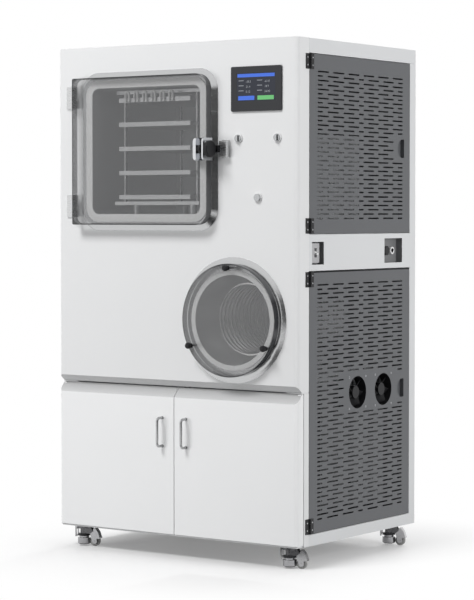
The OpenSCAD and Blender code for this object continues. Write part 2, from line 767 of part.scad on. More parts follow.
module cheek_outline() {
  reach = latch_out + latch_shaft_r + 2;
  translate([0, -latch_h / 2]) square([reach - 12, latch_h]);
  translate([0, -latch_h / 2 + 12]) square([reach, latch_h - 24]);
  for (s = [-1, 1]) translate([reach - 12, s * (latch_h / 2 - 12)]) circle(12, $fn = 32);
}

// Shaft with a collar between the cheeks and a grooved hand knob outside them
module latch_knob() color(dark) translate([0, latch_y, chamber_z]) rotate([0, 90, 0]) {
  knob_t = 14;
  translate([0, 0, pane_x1 - 30]) cylinder(r = latch_shaft_r, h = latch_knob_x - pane_x1 + 31, $fn = 32);
  translate([0, 0, pane_x1 - 14]) cylinder(d = latch_collar_d, h = 9, $fn = 48);
  translate([0, 0, latch_knob_x]) difference() {
    rotate_extrude($fn = 64) polygon([[0, 0], [latch_knob_d / 2 - 3, 0], [latch_knob_d / 2, 3],
      [latch_knob_d / 2, knob_t - 3], [latch_knob_d / 2 - 3, knob_t], [0, knob_t]]);
    for (i = [0 : 11]) rotate([0, 0, 30 * i]) translate([latch_knob_d / 2 + 1.6, 0, -1])
      cylinder(r = 3, h = knob_t + 2, $fn = 16);
  }
}

module latch_keeper() color(steel) translate([keeper_x, 0, chamber_z]) difference() {
  union() {
    along_y(-6, 0) translate([keeper_w / 2, 0]) rounded(keeper_w, keeper_h, 4);
    along_y(-24, 0) translate([keeper_w / 2, 0]) rounded(keeper_w - 2, keeper_h - 6, 3);
  }
  block([-1, -25, -tongue_h / 2 - 0.5], [13, -flange_t + 1.5, tongue_h / 2 + 0.5]);
}

// ---------------------------------------------------------------- condenser lid

module condenser_lid() color(clear) difference() {
  c = 2;
  translate([cold_x, -lid_back, cold_z]) rotate([90, 0, 0]) rotate_extrude($fn = 128)
    polygon([[0, 0], [lid_r - c, 0], [lid_r, c], [lid_r, lid_t - c], [lid_r - c, lid_t], [0, lid_t]]);
  for (a = lid_angles) rod_y(cold_x + lid_bolt_r * cos(a), cold_z + lid_bolt_r * sin(a),
    lid_screw_r + run, -lid_front - 1, 0, 32);
}

// Clamping screw: rounded knob, neck, washer and a stem that ends in the flange
// Knob with a screw that ends just before the flange's threaded hole
module lid_knob(i) color(dark)
  translate([cold_x + lid_bolt_r * cos(lid_angles[i]), -lid_front, cold_z + lid_bolt_r * sin(lid_angles[i])])
    rotate([90, 0, 0]) rotate_extrude($fn = 48) {
      tip = cold_flange_t + 0.3 - lid_front;
      polygon([[0, tip], [lid_screw_r, tip], [lid_screw_r, 0], [8, 0], [8, 3],
        [4.5, 4], [4.5, 9], [8.5, 10], [10.5, 13], [10.5, 19], [8.5, 23], [5, 24.5], [0, 25]]);
    }
module lid_knob_1() lid_knob(0);
module lid_knob_2() lid_knob(1);
module lid_knob_3() lid_knob(2);

// ---------------------------------------------------------------- front doors

// Side view of a front door drawn inset by t: upright face with a slope at its head
module door_profile(t) {
  a = atan(groove_d / slope_down);
  top = groove_z - 1;
  low = floor_z + door_lift;
  polygon([[t, low + t], [door_d - t, low + t], [door_d - t, top - t],
    [groove_d + t * tan((90 - a) / 2), top - t], [t, top - slope_down - t * tan(a / 2)]]);
}

module door_solid(t) intersection() {
  along_x(door_split / 2 + t, half_w - t) door_profile(t);
  translate([0, 0, base_z]) linear_extrude(groove_h + 10) difference() {
    translate([0, t]) square([half_w - t, door_d - 2 * t]);
    translate([half_w - corner_r, corner_r]) difference() {
      translate([0, -corner_r]) square(corner_r);
      circle(corner_r - t, $fn = 64);
    }
  }
}

// Hollow door: a folded tray closed by a rear pan, with pivot blocks in its outer corners
module front_door() {
  px = half_w - pivot_in;
  py = door_d - pivot_in;
  low = floor_z + door_lift;
  difference() {
    union() {
      difference() {
        door_solid(0);
        door_solid(sheet);
        block([40, door_d - sheet - 1, low + 40], [half_w - 40, door_d + 1, groove_z - 60]);
      }
      for (z = [low + 1, groove_z - 17]) block([px - 8, py - 8, z], [half_w - 1, door_d - 1, z + 15]);
    }
    for (z = [low - 1, groove_z - 15]) rod_z(px, py, pivot_d / 2 + run, z, z + 16);
  }
}

module right_front_door() color(white) difference() {
  front_door();
  handle_holes();
}
module left_front_door() color(white) mirror([1, 0, 0]) difference() {
  front_door();
  handle_holes();
}

module handle_holes() for (s = [-1, 1])
  rod_y(handle_x, base_z + handle_h + s * handle_pitch / 2, 2.5, -1, sheet + 1, 20);

// Bent rod with two legs, each held by a screw through the door
module handle_leg() {
  r = handle_rod / 2;
  out = handle_reach + r;
  translate([0, 0, handle_pitch / 2]) {
    rod_y(0, 0, r, handle_bend - out, 0);
    rod_y(0, 0, r + 1.5, -2, 0);
    rod_y(0, 0, 2.3, -1, sheet + 4, 20);
    rod_y(0, 0, 5, sheet, sheet + 4, 20);
    translate([0, handle_bend - out, -handle_bend]) rotate([90, 0, -90])
      rotate_extrude(angle = 90, $fn = 48) translate([handle_bend, 0]) circle(r, $fn = 32);
  }
}
handle_bend = 12;

module door_handle() color(steel) translate([handle_x, 0, base_z + handle_h]) {
  handle_leg();
  mirror([0, 0, 1]) handle_leg();
  rod_z(0, -handle_reach - handle_rod / 2, handle_rod / 2,
    handle_bend - handle_pitch / 2, handle_pitch / 2 - handle_bend);
}
module right_handle() door_handle();
module left_handle() mirror([1, 0, 0]) door_handle();

// ---------------------------------------------------------------- side doors

leaf_t = 3;
module leaf_screws(y, z, side) for (dz = [-1, 1])
  rod_x(y, z + dz * leaf_h / 4, 2.6, side, side + 1.2, 20);

// Heights of a door's two hinges
function hinge_spots(span) = [span[0] + hinge_inset, span[1] - hinge_inset];

module side_hinge_bases() color(dark) for (span = [lower_door, upper_door], z = hinge_spots(span)) {
  third = leaf_h / 3;
  px = side_pivot[0];
  py = side_pivot[1];
  block([half_w, py - leaf_w / 2, z - leaf_h / 2], [half_w + leaf_t, py - 5.5, z + leaf_h / 2]);
  leaf_screws(py - leaf_w / 2 + 8, z, half_w + leaf_t - 0.2);
  rod_z(px, py, 1.9, z - leaf_h / 2, z + leaf_h / 2, 24);
  for (e = [-1, 1]) {
    rod_z(px, py, knuckle_side_r, z + e * third - third / 2 + 0.3, z + e * third + third / 2, 32);
    block([half_w, py - 7, z + e * third - third / 2 + 0.3], [px, py - 1, z + e * third + third / 2]);
  }
}

module side_leaf(z) {
  third = leaf_h / 3;
  px = side_pivot[0];
  py = side_pivot[1];
  block([half_w - 0.5, py + 5.5, z - leaf_h / 2], [half_w + leaf_t, py + leaf_w / 2, z + leaf_h / 2]);
  leaf_screws(py + leaf_w / 2 - 8, z, half_w + leaf_t - 0.2);
  rod_z(px, py, knuckle_side_r, z - third / 2 + 0.3, z + third / 2 - 0.3, 32);
  block([half_w + 0.5, py + 1, z - third / 2 + 0.3], [px, py + 7, z + third / 2 - 0.3]);
}

// Row of slots. Short end slots and long slots alternate with rows of long slots only
field_y0 = 119;
field_l = 542;
short_l = 30;
module slot(y, z, l) {
  r = slot_h / 2;
  translate([half_w - sheet - 1, 0, z]) {
    translate([0, y + r, -r]) cube([sheet + 2, l - slot_h, slot_h]);
    for (e = [r, l - r]) rod_x(y + e, 0, r, 0, sheet + 2, 16);
  }
}

// True where a slot would meet the fans, the pull or a hinge
function blocked(y, l, z, fans, pull_z) =
  (fans && z > base_z + fan_h - 68 && z < base_z + fan_h + 70 && y + l > 300 && y < 606)
  || (abs(z - pull_z) < pull_h / 2 + 8 && y + l > pull_y - pull_w / 2 - 12);

// Starts and lengths of one row's slots
function row_slots(odd) = let (n = 6, long_step = slot_l + slot_gap) odd
  ? [for (i = [0 : n - 1]) [field_y0 + i * long_step, slot_l]]
  : let (gap = (field_l - 3 * short_l - 4 * slot_l) / 6)
    [for (i = [0 : 6]) [field_y0 + i * (slot_l + gap) - (slot_l - short_l) * ceil(i / 3),
      i % 3 == 0 ? short_l : slot_l]];

module slot_field(z0, rows, fans, pull_z) for (row = [0 : rows - 1], s = row_slots(row % 2 == 1)) {
  z = z0 + slot_pitch * row;
  if (!blocked(s[0], s[1], z, fans, pull_z)) slot(s[0], z, s[1]);
}

// Half-moon finger pull: a cup behind a half-moon hole, its flat side to the rear
pull_y = 651;
pull_cup = 16;
module pull_outline(grow) intersection() {
  translate([pull_h / 2 - pull_w, 0]) circle(pull_h / 2 + grow, $fn = 48);
  translate([-pull_w - grow, -pull_h]) square([pull_w + 2 * grow, 2 * pull_h]);
}
module pull_solid(z, grow, x0, x1) along_x(x0, x1) translate([pull_y + pull_w / 2, z])
  pull_outline(grow);

module side_door(span, rows, first, fans, pull_z) color(grey) difference() {
  union() {
    difference() {
      block([half_w - side_fold, side_y0, span[0]], [half_w, side_y1, span[1]]);
      block([half_w - side_fold - 1, side_y0 + sheet, span[0] + sheet],
        [half_w - sheet, side_y1 - sheet, span[1] - sheet]);
      slot_field(first, rows, fans, pull_z);
      if (fans) for (i = [0, 1]) fan_cuts(i);
    }
    pull_solid(pull_z, 1.5, half_w - pull_cup, half_w - 0.5);
    for (z = hinge_spots(span)) side_leaf(z);
  }
  pull_solid(pull_z, 0, half_w - pull_cup + 1.5, half_w + 1);
  for (z = hinge_spots(span)) rod_z(side_pivot[0], side_pivot[1], 1.9 + run, z - leaf_h, z + leaf_h, 24);
}

module upper_side_door()
  side_door(upper_door, 34, base_z + 1076.6, false, base_z + 1318);
module lower_side_door()
  side_door(lower_door, 54, base_z + 84.2, true, base_z + 485);

// ---------------------------------------------------------------- fans

fan_holes = 105;
function fan_at(i) = fan_y + i * fan_pitch;
module fan_cuts(i) {
  rod_x(fan_at(i), base_z + fan_h, fan_hole / 2, half_w - sheet - 1, half_w + 1, 64);
  for (sy = [-1, 1], sz = [-1, 1])
    rod_x(fan_at(i) + sy * fan_holes / 2, base_z + fan_h + sz * fan_holes / 2, 2.2,
      half_w - sheet - 1, half_w + 1, 20);
}

module fan_frames() color(dark) for (i = [0, 1]) translate([0, fan_at(i), base_z + fan_h]) {
  x1 = half_w - sheet;
  x0 = x1 - fan_d;
  difference() {
    along_x(x0, x1) rounded(fan_w, fan_w, 8);
    rod_x(0, 0, fan_hole / 2, x0 - 1, x1 + 1, 64);
    for (sy = [-1, 1], sz = [-1, 1]) rod_x(sy * fan_holes / 2, sz * fan_holes / 2, 2.2, x0 - 1, x1 + 1, 20);
    for (a = [0 : 90 : 270]) rotate([a, 0, 0]) block([x0 + 6, fan_w / 2 - 4, -34], [x1 - 6, fan_w, 34]);
  }
  // Motor cup held by three arms, with the spindle that carries the rotor
  rod_x(0, 0, 19, x0, x0 + 5, 48);
  for (a = [90, 210, 330]) rotate([a, 0, 0]) block([x0, 10, -3.5], [x0 + 5, fan_hole / 2 + 2, 3.5]);
  rod_x(0, 0, 2, x0 + 4, x0 + 16, 24);
}

module fan_rotor(i) color(dark) translate([half_w - sheet - fan_d, fan_at(i), base_z + fan_h]) {
  difference() {
    union() {
      rod_x(0, 0, 21, 7, fan_d - 5, 64);
      for (k = [0 : fan_blades - 1]) rotate([k * 360 / fan_blades, 0, 0])
        translate([7 + (fan_d - 14) / 2 + 1, 0, 19]) rotate([0, 0, 40])
          block([-1, -13, 0], [1, 13, fan_hole / 2 - 23]);
    }
    rod_x(0, 0, 2 + run, 6, 17, 24);
  }
}
module fan_rotor_1() fan_rotor(0);
module fan_rotor_2() fan_rotor(1);

// ---------------------------------------------------------------- controls

screen_x = half_w - screen_right;
screen_z = top_z - screen_down;
screen_body = [screen_w - 14, screen_h - 14];
bezel_t = 6;

module screen_housing() color(dark) translate([screen_x, 0, screen_z]) difference() {
  union() {
    along_y(-bezel_t, 0) rounded(screen_w, screen_h, 5);
    along_y(-1, 40) square(screen_body, center = true);
  }
  along_y(-bezel_t - 1, -bezel_t + 1.5) translate([0, 6]) square([display_w, display_h], center = true);
}

module screen_display() color([0.05, 0.07, 0.12]) translate([screen_x, 0, screen_z + 6])
  along_y(-bezel_t + 0.3, -bezel_t + 1.5) square([display_w - 0.6, display_h - 0.6], center = true);

// Turning knob with a raised grip bar, on a stem through the cover
module selector(i) color(light) translate([control_x(i), 0, control_z(i)]) {
  rod_y(0, 0, stem_r, -1, 22);
  rod_y(0, 0, control_knob_d / 2, -collar_h - 3, -0.3, 48);
  along_y(-collar_h - 8, -collar_h - 2.9) rounded(7, control_knob_d - 2, 2.5);
}
module left_selector() selector(0);
module right_selector() selector(1);

module push_button() color(light) translate([control_x(2), 0, control_z(2)]) {
  rod_y(0, 0, stem_r, -collar_h - 1, 22);
  rod_y(0, 0, control_knob_d / 2, -collar_h - 4.5, -button_travel - 0.4, 48);
}

breaker_y = 121.5;
module breaker_body() color(light) difference() {
  block([side_x + sheet, breaker_y - 22, pocket_z - 34], [half_w - 9, breaker_y + 22, pocket_z + 30]);
  block([half_w - 20, breaker_y - 7, pocket_z - 16], [half_w, breaker_y + 7, pocket_z + 14]);
  rod_y(half_w - 14, pocket_z - 1, 2 + run, breaker_y - 15, breaker_y + 15, 24);
}

module breaker_lever() color(dark) {
  rod_y(half_w - 14, pocket_z - 1, 5, breaker_y - 6, breaker_y + 6, 32);
  rod_y(half_w - 14, pocket_z - 1, 2, breaker_y - 14, breaker_y + 14, 24);
  translate([half_w - 14, 0, pocket_z - 1]) rotate([0, 20, 0])
    block([0, breaker_y - 5, -2.5], [14, breaker_y + 5, 2.5]);
}

module vent_port() color(white) translate([0, port_y, pocket_z]) difference() {
  union() {
    rod_x(0, 0, port_bore + 5.5, side_x + sheet, side_x + sheet + 8, 64);
    rod_x(0, 0, port_bore + 2.5, side_x - 20, side_x + sheet + 1, 48);
  }
  rod_x(0, 0, port_bore, side_x - 21, side_x + sheet + 9, 48);
}

module valve_knob() color(dark) translate([side_x + sheet, valve_y, pocket_z]) {
  rod_x(0, 0, 5, -22, 3, 32);
  difference() {
    rod_x(0, 0, 16, 0.5, 16, 48);
    for (i = [0 : 7]) rotate([45 * i, 0, 0]) rod_x(0, 17.5, 3, 2, 17, 16);
  }
}

// ---------------------------------------------------------------- machinery

pump_x = -280;
pump_y = 330;
module vacuum_pump() color(steel) translate([pump_x, pump_y, floor_z]) {
  for (x = [-130, 90]) block([x - 15, -75, 0], [x + 15, 75, 60]);
  block([-60, -80, 28], [120, 80, 190]);
  rod_x(0, 110, 72, -190, -59, 64);
  for (i = [0 : 8]) rod_x(0, 110, 78, -178 + 12 * i, -173 + 12 * i, 64);
  rod_x(0, 110, 60, -206, -189, 64);
  rod_z(80, 20, 20, 189, 235, 48);
  rod_z(20, -30, 32, 189, 290, 48);
  rod_y(60, 70, 16, -88, -79, 32);
  pipe_run([[-40, 50, 189], [-40, 50, 225], [40, 50, 225], [40, 50, 189]], 7);
}

// Hermetic refrigeration compressor: a domed can on rubber feet
comp_x = 130;
comp_y = 330;
module compressor() color(dark) translate([comp_x, comp_y, floor_z]) {
  rotate_extrude($fn = 96) polygon(concat([[0, 20], [96, 20], [104, 30], [104, 200]],
    [for (a = [0 : 15 : 90]) [104 * cos(a), 200 + 62 * sin(a)]]));
  for (a = [45 : 90 : 315]) rotate([0, 0, a]) {
    block([80, -15, 16], [135, 15, 22]);
    rod_z(122, 0, 14, 0, 17);
  }
  block([95, -30, 120], [125, 30, 190]);
  pipe_run([[-60, 0, 235], [-60, 0, 300], [-60, 90, 300]], 6);
}

// Air-cooled coil: folded fins between two end plates, on feet
hx_x = 385;
hx_len = 420;
hx_y = 235;
module heat_exchanger() color(steel) {
  x0 = hx_x;
  x1 = hx_x + 50;
  top = beam_z - 12;
  fins = 52;
  step = (hx_len - 8) / fins;
  translate([0, 0, floor_z]) linear_extrude(top - floor_z) polygon(concat(
    [[x0 + 3, hx_y + 2]],
    [for (i = [0 : fins - 1], k = [0, 1]) [x0 + (k == 0 ? 1 : 6), hx_y + 4 + step * (i + k * 0.45)]],
    [[x0 + 3, hx_y + hx_len - 2], [x1 - 3, hx_y + hx_len - 2]],
    [for (i = [fins - 1 : -1 : 0], k = [1, 0]) [x1 - (k == 0 ? 1 : 6), hx_y + 4 + step * (i + k * 0.45)]],
    [[x1 - 3, hx_y + 2]]));
  for (y = [hx_y, hx_y + hx_len - 3]) block([x0 - 4, y, floor_z], [x1 + 2, y + 3, top + 6]);
  for (z = [floor_z + 50 : 60 : top - 60]) {
    translate([(x0 + x1) / 2, hx_y, z]) rotate([0, 0, 180]) rotate([90, 0, 90])
      rotate_extrude(angle = 180, $fn = 24) translate([14, 0]) circle(4.5, $fn = 16);
  }
}

// Sheet box with a front plate and a row of bored cable glands on its head
module electrical_box() color(light) {
  x0 = 190;
  z0 = deck_z + deck_t;
  glands = [200 : 40 : 440];
  difference() {
    union() {
      block([x0, 160, z0], [x0 + 240, 480, z0 + 330]);
      for (y = glands) rod_z(x0 + 60, y, 9, z0 + 329, z0 + 345, 24);
    }
    block([x0 + 3, 163, z0 + 3], [x0 + 241, 477, z0 + 327]);
    for (y = glands) rod_z(x0 + 60, y, 5, z0 + 320, z0 + 346, 24);
  }
  block([x0 + 238, 161, z0 + 1], [x0 + 246, 479, z0 + 329]);
  rod_x(320, z0 + 165, 8, x0 + 245, x0 + 250, 32);
}

// Vapour duct from the chamber to the condenser, and the pump's suction line
module vacuum_line() color(steel) {
  neck = 24;
  y0 = chamber_d + neck;
  y1 = condenser_d + neck;
  pump_in = [pump_x + 80, pump_y + 20, floor_z + 235];
  suction_y = duct_y - 40;
  suction_z = cold_z - 90;
  pipe_run([[duct_x, y0, duct_z1], [duct_x, duct_y, duct_z1], [duct_end_x, duct_y, duct_end_z],
    [duct_end_x, y1, duct_end_z]], duct_r);
  rod_y(duct_x, duct_z1, duct_r + 7, y0, y0 + 8, 48);
  rod_y(duct_end_x, duct_end_z, duct_r + 7, y1, y1 + 8, 48);
  pipe_run([[cold_x, y1, suction_z], [cold_x, suction_y, suction_z], [pump_in[0], suction_y, suction_z],
    [pump_in[0], pump_in[1], suction_z], pump_in], suction_r);
  rod_y(cold_x, suction_z, suction_r + 7, y1, y1 + 8, 48);
  rod_z(pump_in[0], pump_in[1], suction_r + 7, pump_in[2], pump_in[2] + 8, 48);
}
duct_r = 22;
suction_r = 12;

// ---------------------------------------------------------------- casters

stem_d = 12;
module caster_plates() color(steel) for (spot = caster_spots) translate([spot[0], spot[1], 0])
  difference() {
    union() {
      translate([0, 0, base_z - plate_t]) linear_extrude(plate_t) rounded(caster_plate, caster_plate, 6);
      rod_z(0, 0, 9, swivel_z - 7, swivel_z + 1);
    }
    for (sx = [-1, 1], sy = [-1, 1])
      rod_z(sx * caster_holes / 2, sy * caster_holes / 2, 3.2, base_z - 9, base_z + 1, 24);
  }

// Swivelling body: bearing cap, foot barrel, toothed dial, the fork and hood of the wheel, and a
// guard on the far side of the foot
module caster_yoke(i) color(steel) translate([caster_spots[i][0], caster_spots[i][1], 0])
  rotate([0, 0, caster_turn]) difference() {
    union() {
      rod_z(0, 0, 24, swivel_z - 9, swivel_z - 0.5, 64);
      rod_z(0, 0, 14, 36, swivel_z - 8, 48);
      dial();
      for (s = [-1, 1]) {
        translate([0, s * (fork_out + fork_t / 2) + fork_t / 2, 0]) rotate([90, 0, 0])
          linear_extrude(fork_t) fork_outline();
      }
      wheel_hood();
      foot_guard();
      rod_y(caster_trail, wheel_r, 3, -fork_out - fork_t - 1, fork_out + fork_t + 1, 32);
    }
    rod_z(0, 0, 9 + run, swivel_z - 7.5, swivel_z + 1, 32);
    rod_z(0, 0, stem_d / 2 + run, 20, swivel_z - 9.5, 32);
  }
fork_out = wheel_w / 2 + 1.5;
fork_t = 3.5;

// Narrow hood over the wheel, drawn down on its outer side
module wheel_hood() translate([0, fork_out + fork_t, 0]) rotate([90, 0, 0]) difference() {
  far = caster_trail + wheel_r;
  linear_extrude(2 * (fork_out + fork_t)) difference() {
    union() {
      translate([caster_trail, wheel_r]) circle(wheel_r + 4, $fn = 64);
      polygon([[caster_trail - 5, wheel_r], [caster_trail - 4, swivel_z - 9], [caster_trail + 4, swivel_z - 9],
        [far - 4, swivel_z - 22], [far + 3.5, wheel_r + 8], [far, wheel_r]]);
    }
    translate([-10, -10]) square([caster_trail + 5, swivel_z + 10]);
    translate([-10, -10]) square([far + 20, wheel_r + 19]);
  }
  translate([0, 0, fork_t]) linear_extrude(2 * fork_out) {
    translate([caster_trail, wheel_r]) circle(wheel_r + 1.5, $fn = 64);
    polygon([[caster_trail - 20, wheel_r], [caster_trail - 20, swivel_z - 12], [caster_trail + 3, swivel_z - 12],
      [far - 6, swivel_z - 24], [far + 1, wheel_r + 8], [far + 1, wheel_r]]);
  }
}

// Open frame beside the foot, level with the dial
module foot_guard() {
  out = foot_d / 2 + 6;
  difference() {
    block([-out, -15, foot_top + 4], [-out + 4.5, 15, swivel_z - 0.5]);
    block([-out - 1, -10, foot_top + 9], [-out + 6, 10, swivel_z - 13]);
  }
  block([-out, -15, swivel_z - 8], [-14, 15, swivel_z - 0.5]);
}
foot_top = 29;

module fork_outline() {
  r = 9;
  top = swivel_z - 3;
  translate([caster_trail, wheel_r]) circle(r, $fn = 32);
  polygon([[caster_trail - r, wheel_r], [caster_trail + r, wheel_r], [caster_trail + r - 2, 40],
    [caster_trail - 6, 54], [26, top], [4, top], [4, 46], [caster_trail - r - 7, 43]]);
}

module dial() difference() {
  rod_z(0, 0, 22, 36, 43, 64);
  for (k = [0 : 15]) rotate([0, 0, 22.5 * k]) rod_z(22.5, 0, 1.8, 35, 44, 16);
  rod_z(0, 0, 13, 35, 44, 48);
}

// Wheel with three round windows in its web
module caster_wheel(i) color(white) translate([caster_spots[i][0], caster_spots[i][1], 0])
  rotate([0, 0, caster_turn]) translate([caster_trail, 0, wheel_r]) rotate([90, 0, 0]) difference() {
    rotate_extrude($fn = 64) polygon([[3 + run, -wheel_w / 2], [wheel_r * 0.72, -wheel_w / 2],
      [wheel_r * 0.76, -wheel_w / 2 + 2], [wheel_r - 1.5, -wheel_w / 2 + 2], [wheel_r, -wheel_w / 2 + 3.5],
      [wheel_r, wheel_w / 2 - 3.5], [wheel_r - 1.5, wheel_w / 2 - 2], [wheel_r * 0.76, wheel_w / 2 - 2],
      [wheel_r * 0.72, wheel_w / 2], [3 + run, wheel_w / 2]]);
    for (k = [0 : 2]) rotate([0, 0, 30 + 120 * k]) translate([wheel_r * 0.46, 0, -wheel_w])
      cylinder(r = wheel_r * 0.17, h = 2 * wheel_w, $fn = 24);
  }

// Levelling foot: a pad under a deep cup, on a stem that runs in the yoke's barrel
module caster_foot(i) color(steel) translate([caster_spots[i][0], caster_spots[i][1], 0]) {
  rod_z(0, 0, stem_d / 2, 27, swivel_z - 13, 32);
  rod_z(0, 0, foot_d / 2 - 6, foot_clear, foot_clear + 4, 48);
  rod_z(0, 0, foot_d / 2, foot_clear + 3, foot_top, 64);
  rod_z(0, 0, foot_d / 2 - 6, foot_top - 1, foot_top + 6, 48);
}

module caster_yoke_1() caster_yoke(0);
module caster_yoke_2() caster_yoke(1);
module caster_yoke_3() caster_yoke(2);
module caster_yoke_4() caster_yoke(3);
module caster_wheel_1() caster_wheel(0);
module caster_wheel_2() caster_wheel(1);
module caster_wheel_3() caster_wheel(2);
module caster_wheel_4() caster_wheel(3);
module caster_foot_1() caster_foot(0);
module caster_foot_2() caster_foot(1);
module caster_foot_3() caster_foot(2);
module caster_foot_4() caster_foot(3);

place() cabinet_frame();
place() front_cover();
place() roof();
place() left_panel();
place() rear_panel();
place() equipment_deck();
place() drying_chamber();
place() chamber_gasket();
place() shelf_rack();
place() shelf_hoses();
place() condenser_vessel();
place() condenser_gasket();
place() cooling_coil();
place() chamber_hinge_bases();
place() latch_keeper();
place() screen_housing();
place() screen_display();
place() breaker_body();
place() vent_port();
place() vacuum_pump();
place() compressor();
place() heat_exchanger();
place() electrical_box();
place() vacuum_line();
place() side_hinge_bases();
place() caster_plates();
place() chamber_door();
place() chamber_hinge_leaves();
place() latch_bracket();
place() latch_knob();
place() condenser_lid();
place() lid_knob_1();
place() lid_knob_2();
place() lid_knob_3();
place() left_front_door();
place() right_front_door();
place() left_handle();
place() right_handle();
place() upper_side_door();
place() lower_side_door();
place() fan_frames();
place() fan_rotor_1();
place() fan_rotor_2();
place() left_selector();
place() right_selector();
place() push_button();
place() breaker_lever();
place() valve_knob();
place() caster_yoke_1();
place() caster_yoke_2();
place() caster_yoke_3();
place() caster_yoke_4();
place() caster_wheel_1();
place() caster_wheel_2();
place() caster_wheel_3();
place() caster_wheel_4();
place() caster_foot_1();
place() caster_foot_2();
place() caster_foot_3();
place() caster_foot_4();
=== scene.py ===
import math

import bpy
from mathutils import Matrix, Vector


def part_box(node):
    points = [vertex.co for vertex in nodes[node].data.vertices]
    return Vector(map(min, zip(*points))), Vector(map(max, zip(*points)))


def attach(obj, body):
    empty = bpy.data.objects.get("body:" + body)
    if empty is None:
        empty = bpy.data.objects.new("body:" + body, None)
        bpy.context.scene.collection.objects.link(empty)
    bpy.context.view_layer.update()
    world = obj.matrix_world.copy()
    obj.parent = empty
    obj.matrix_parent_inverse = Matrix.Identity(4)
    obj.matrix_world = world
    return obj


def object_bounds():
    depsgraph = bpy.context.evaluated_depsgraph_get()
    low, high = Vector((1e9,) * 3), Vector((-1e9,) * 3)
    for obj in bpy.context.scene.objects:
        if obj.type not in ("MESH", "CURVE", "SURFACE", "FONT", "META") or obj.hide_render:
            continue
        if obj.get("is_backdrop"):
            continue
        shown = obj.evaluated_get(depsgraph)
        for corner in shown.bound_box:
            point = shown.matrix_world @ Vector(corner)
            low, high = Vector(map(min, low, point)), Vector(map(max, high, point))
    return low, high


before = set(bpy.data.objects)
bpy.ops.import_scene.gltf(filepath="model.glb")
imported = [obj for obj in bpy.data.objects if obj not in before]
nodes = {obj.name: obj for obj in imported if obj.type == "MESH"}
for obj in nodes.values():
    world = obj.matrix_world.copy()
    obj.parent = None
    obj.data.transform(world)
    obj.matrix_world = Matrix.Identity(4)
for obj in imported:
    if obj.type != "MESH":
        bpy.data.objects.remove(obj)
cad_low, cad_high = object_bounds()

# ---------------------------------------------------------------- cabinet frame and floor plate
# The machine stands on one welded frame of square steel tube with a folded floor plate. It is
# powder coated in a pale grey: a fine orange-peel skin, matt to satin, barely uneven in tone.


def deselect():
    for thing in bpy.context.selected_objects:
        thing.select_set(False)


def pick(thing):
    """Makes one object the only selected one, and the active one."""
    deselect()
    thing.select_set(True)
    bpy.context.view_layer.objects.active = thing


def add_node(tree, kind, **settings):
    made = tree.nodes.new(kind)
    for key, value in settings.items():
        if hasattr(made, key):
            setattr(made, key, value)
        else:
            made.inputs[key.replace("_", " ")].default_value = value
    return made


def map_range(tree, value, source, target, **settings):
    """Turns one span of a value into another, and returns the result's socket."""
    ramp = add_node(tree, "ShaderNodeMapRange", **settings)
    ramp.inputs["From Min"].default_value, ramp.inputs["From Max"].default_value = source
    ramp.inputs["To Min"].default_value, ramp.inputs["To Max"].default_value = target
    tree.links.new(value, ramp.inputs["Value"])
    return ramp.outputs["Result"]


def start_group(name, inputs, outputs):
    """An empty node group with named sockets, and the nodes at its two ends."""
    group = bpy.data.node_groups.new(name, "ShaderNodeTree")
    for in_out, sockets in (("INPUT", inputs), ("OUTPUT", outputs)):
        for label, kind in sockets.items():
            group.interface.new_socket(label, in_out=in_out, socket_type=f"NodeSocket{kind}")
    return group, add_node(group, "NodeGroupInput"), add_node(group, "NodeGroupOutput")


def surface_group(name, scale_name, grain, drifts, share):
    """A height from one fine noise, and a tone blended from two noises."""
    group, inlet, outlet = start_group(name, {"Vector": "Vector", scale_name: "Float"},
                                       {"Tone": "Float", "Height": "Float"})
    noises = [add_node(group, "ShaderNodeTexNoise", **settings) for settings in (grain, *drifts)]
    for noise in noises:
        group.links.new(inlet.outputs["Vector"], noise.inputs["Vector"])
    group.links.new(inlet.outputs[scale_name], noises[0].inputs["Scale"])
    blend = add_node(group, "ShaderNodeMix", data_type="FLOAT")
    blend.inputs[0].default_value = share
    group.links.new(noises[-2].outputs["Fac"], blend.inputs[2])
    group.links.new(noises[-1].outputs["Fac"], blend.inputs[3])
    group.links.new(blend.outputs[0], outlet.inputs["Tone"])
    group.links.new(noises[0].outputs["Fac"], outlet.inputs["Height"])
    return group


# Orange peel of a powder coat, or the spark texture of moulded plastic
powder_skin = surface_group("powder_skin", "Grain Scale", {"Detail": 3.0, "Roughness": 0.55}, (
    {"Scale": 5.0, "Detail": 4.0, "Roughness": 0.6},
    {"Scale": 160.0, "Detail": 2.0, "Roughness": 0.7}), 0.35)
TONE_SPAN = (0.3, 0.7)  # between these two values lies nearly all of a tone
COAT_SPREAD = 0.05      # how far a coat's roughness drifts to each side


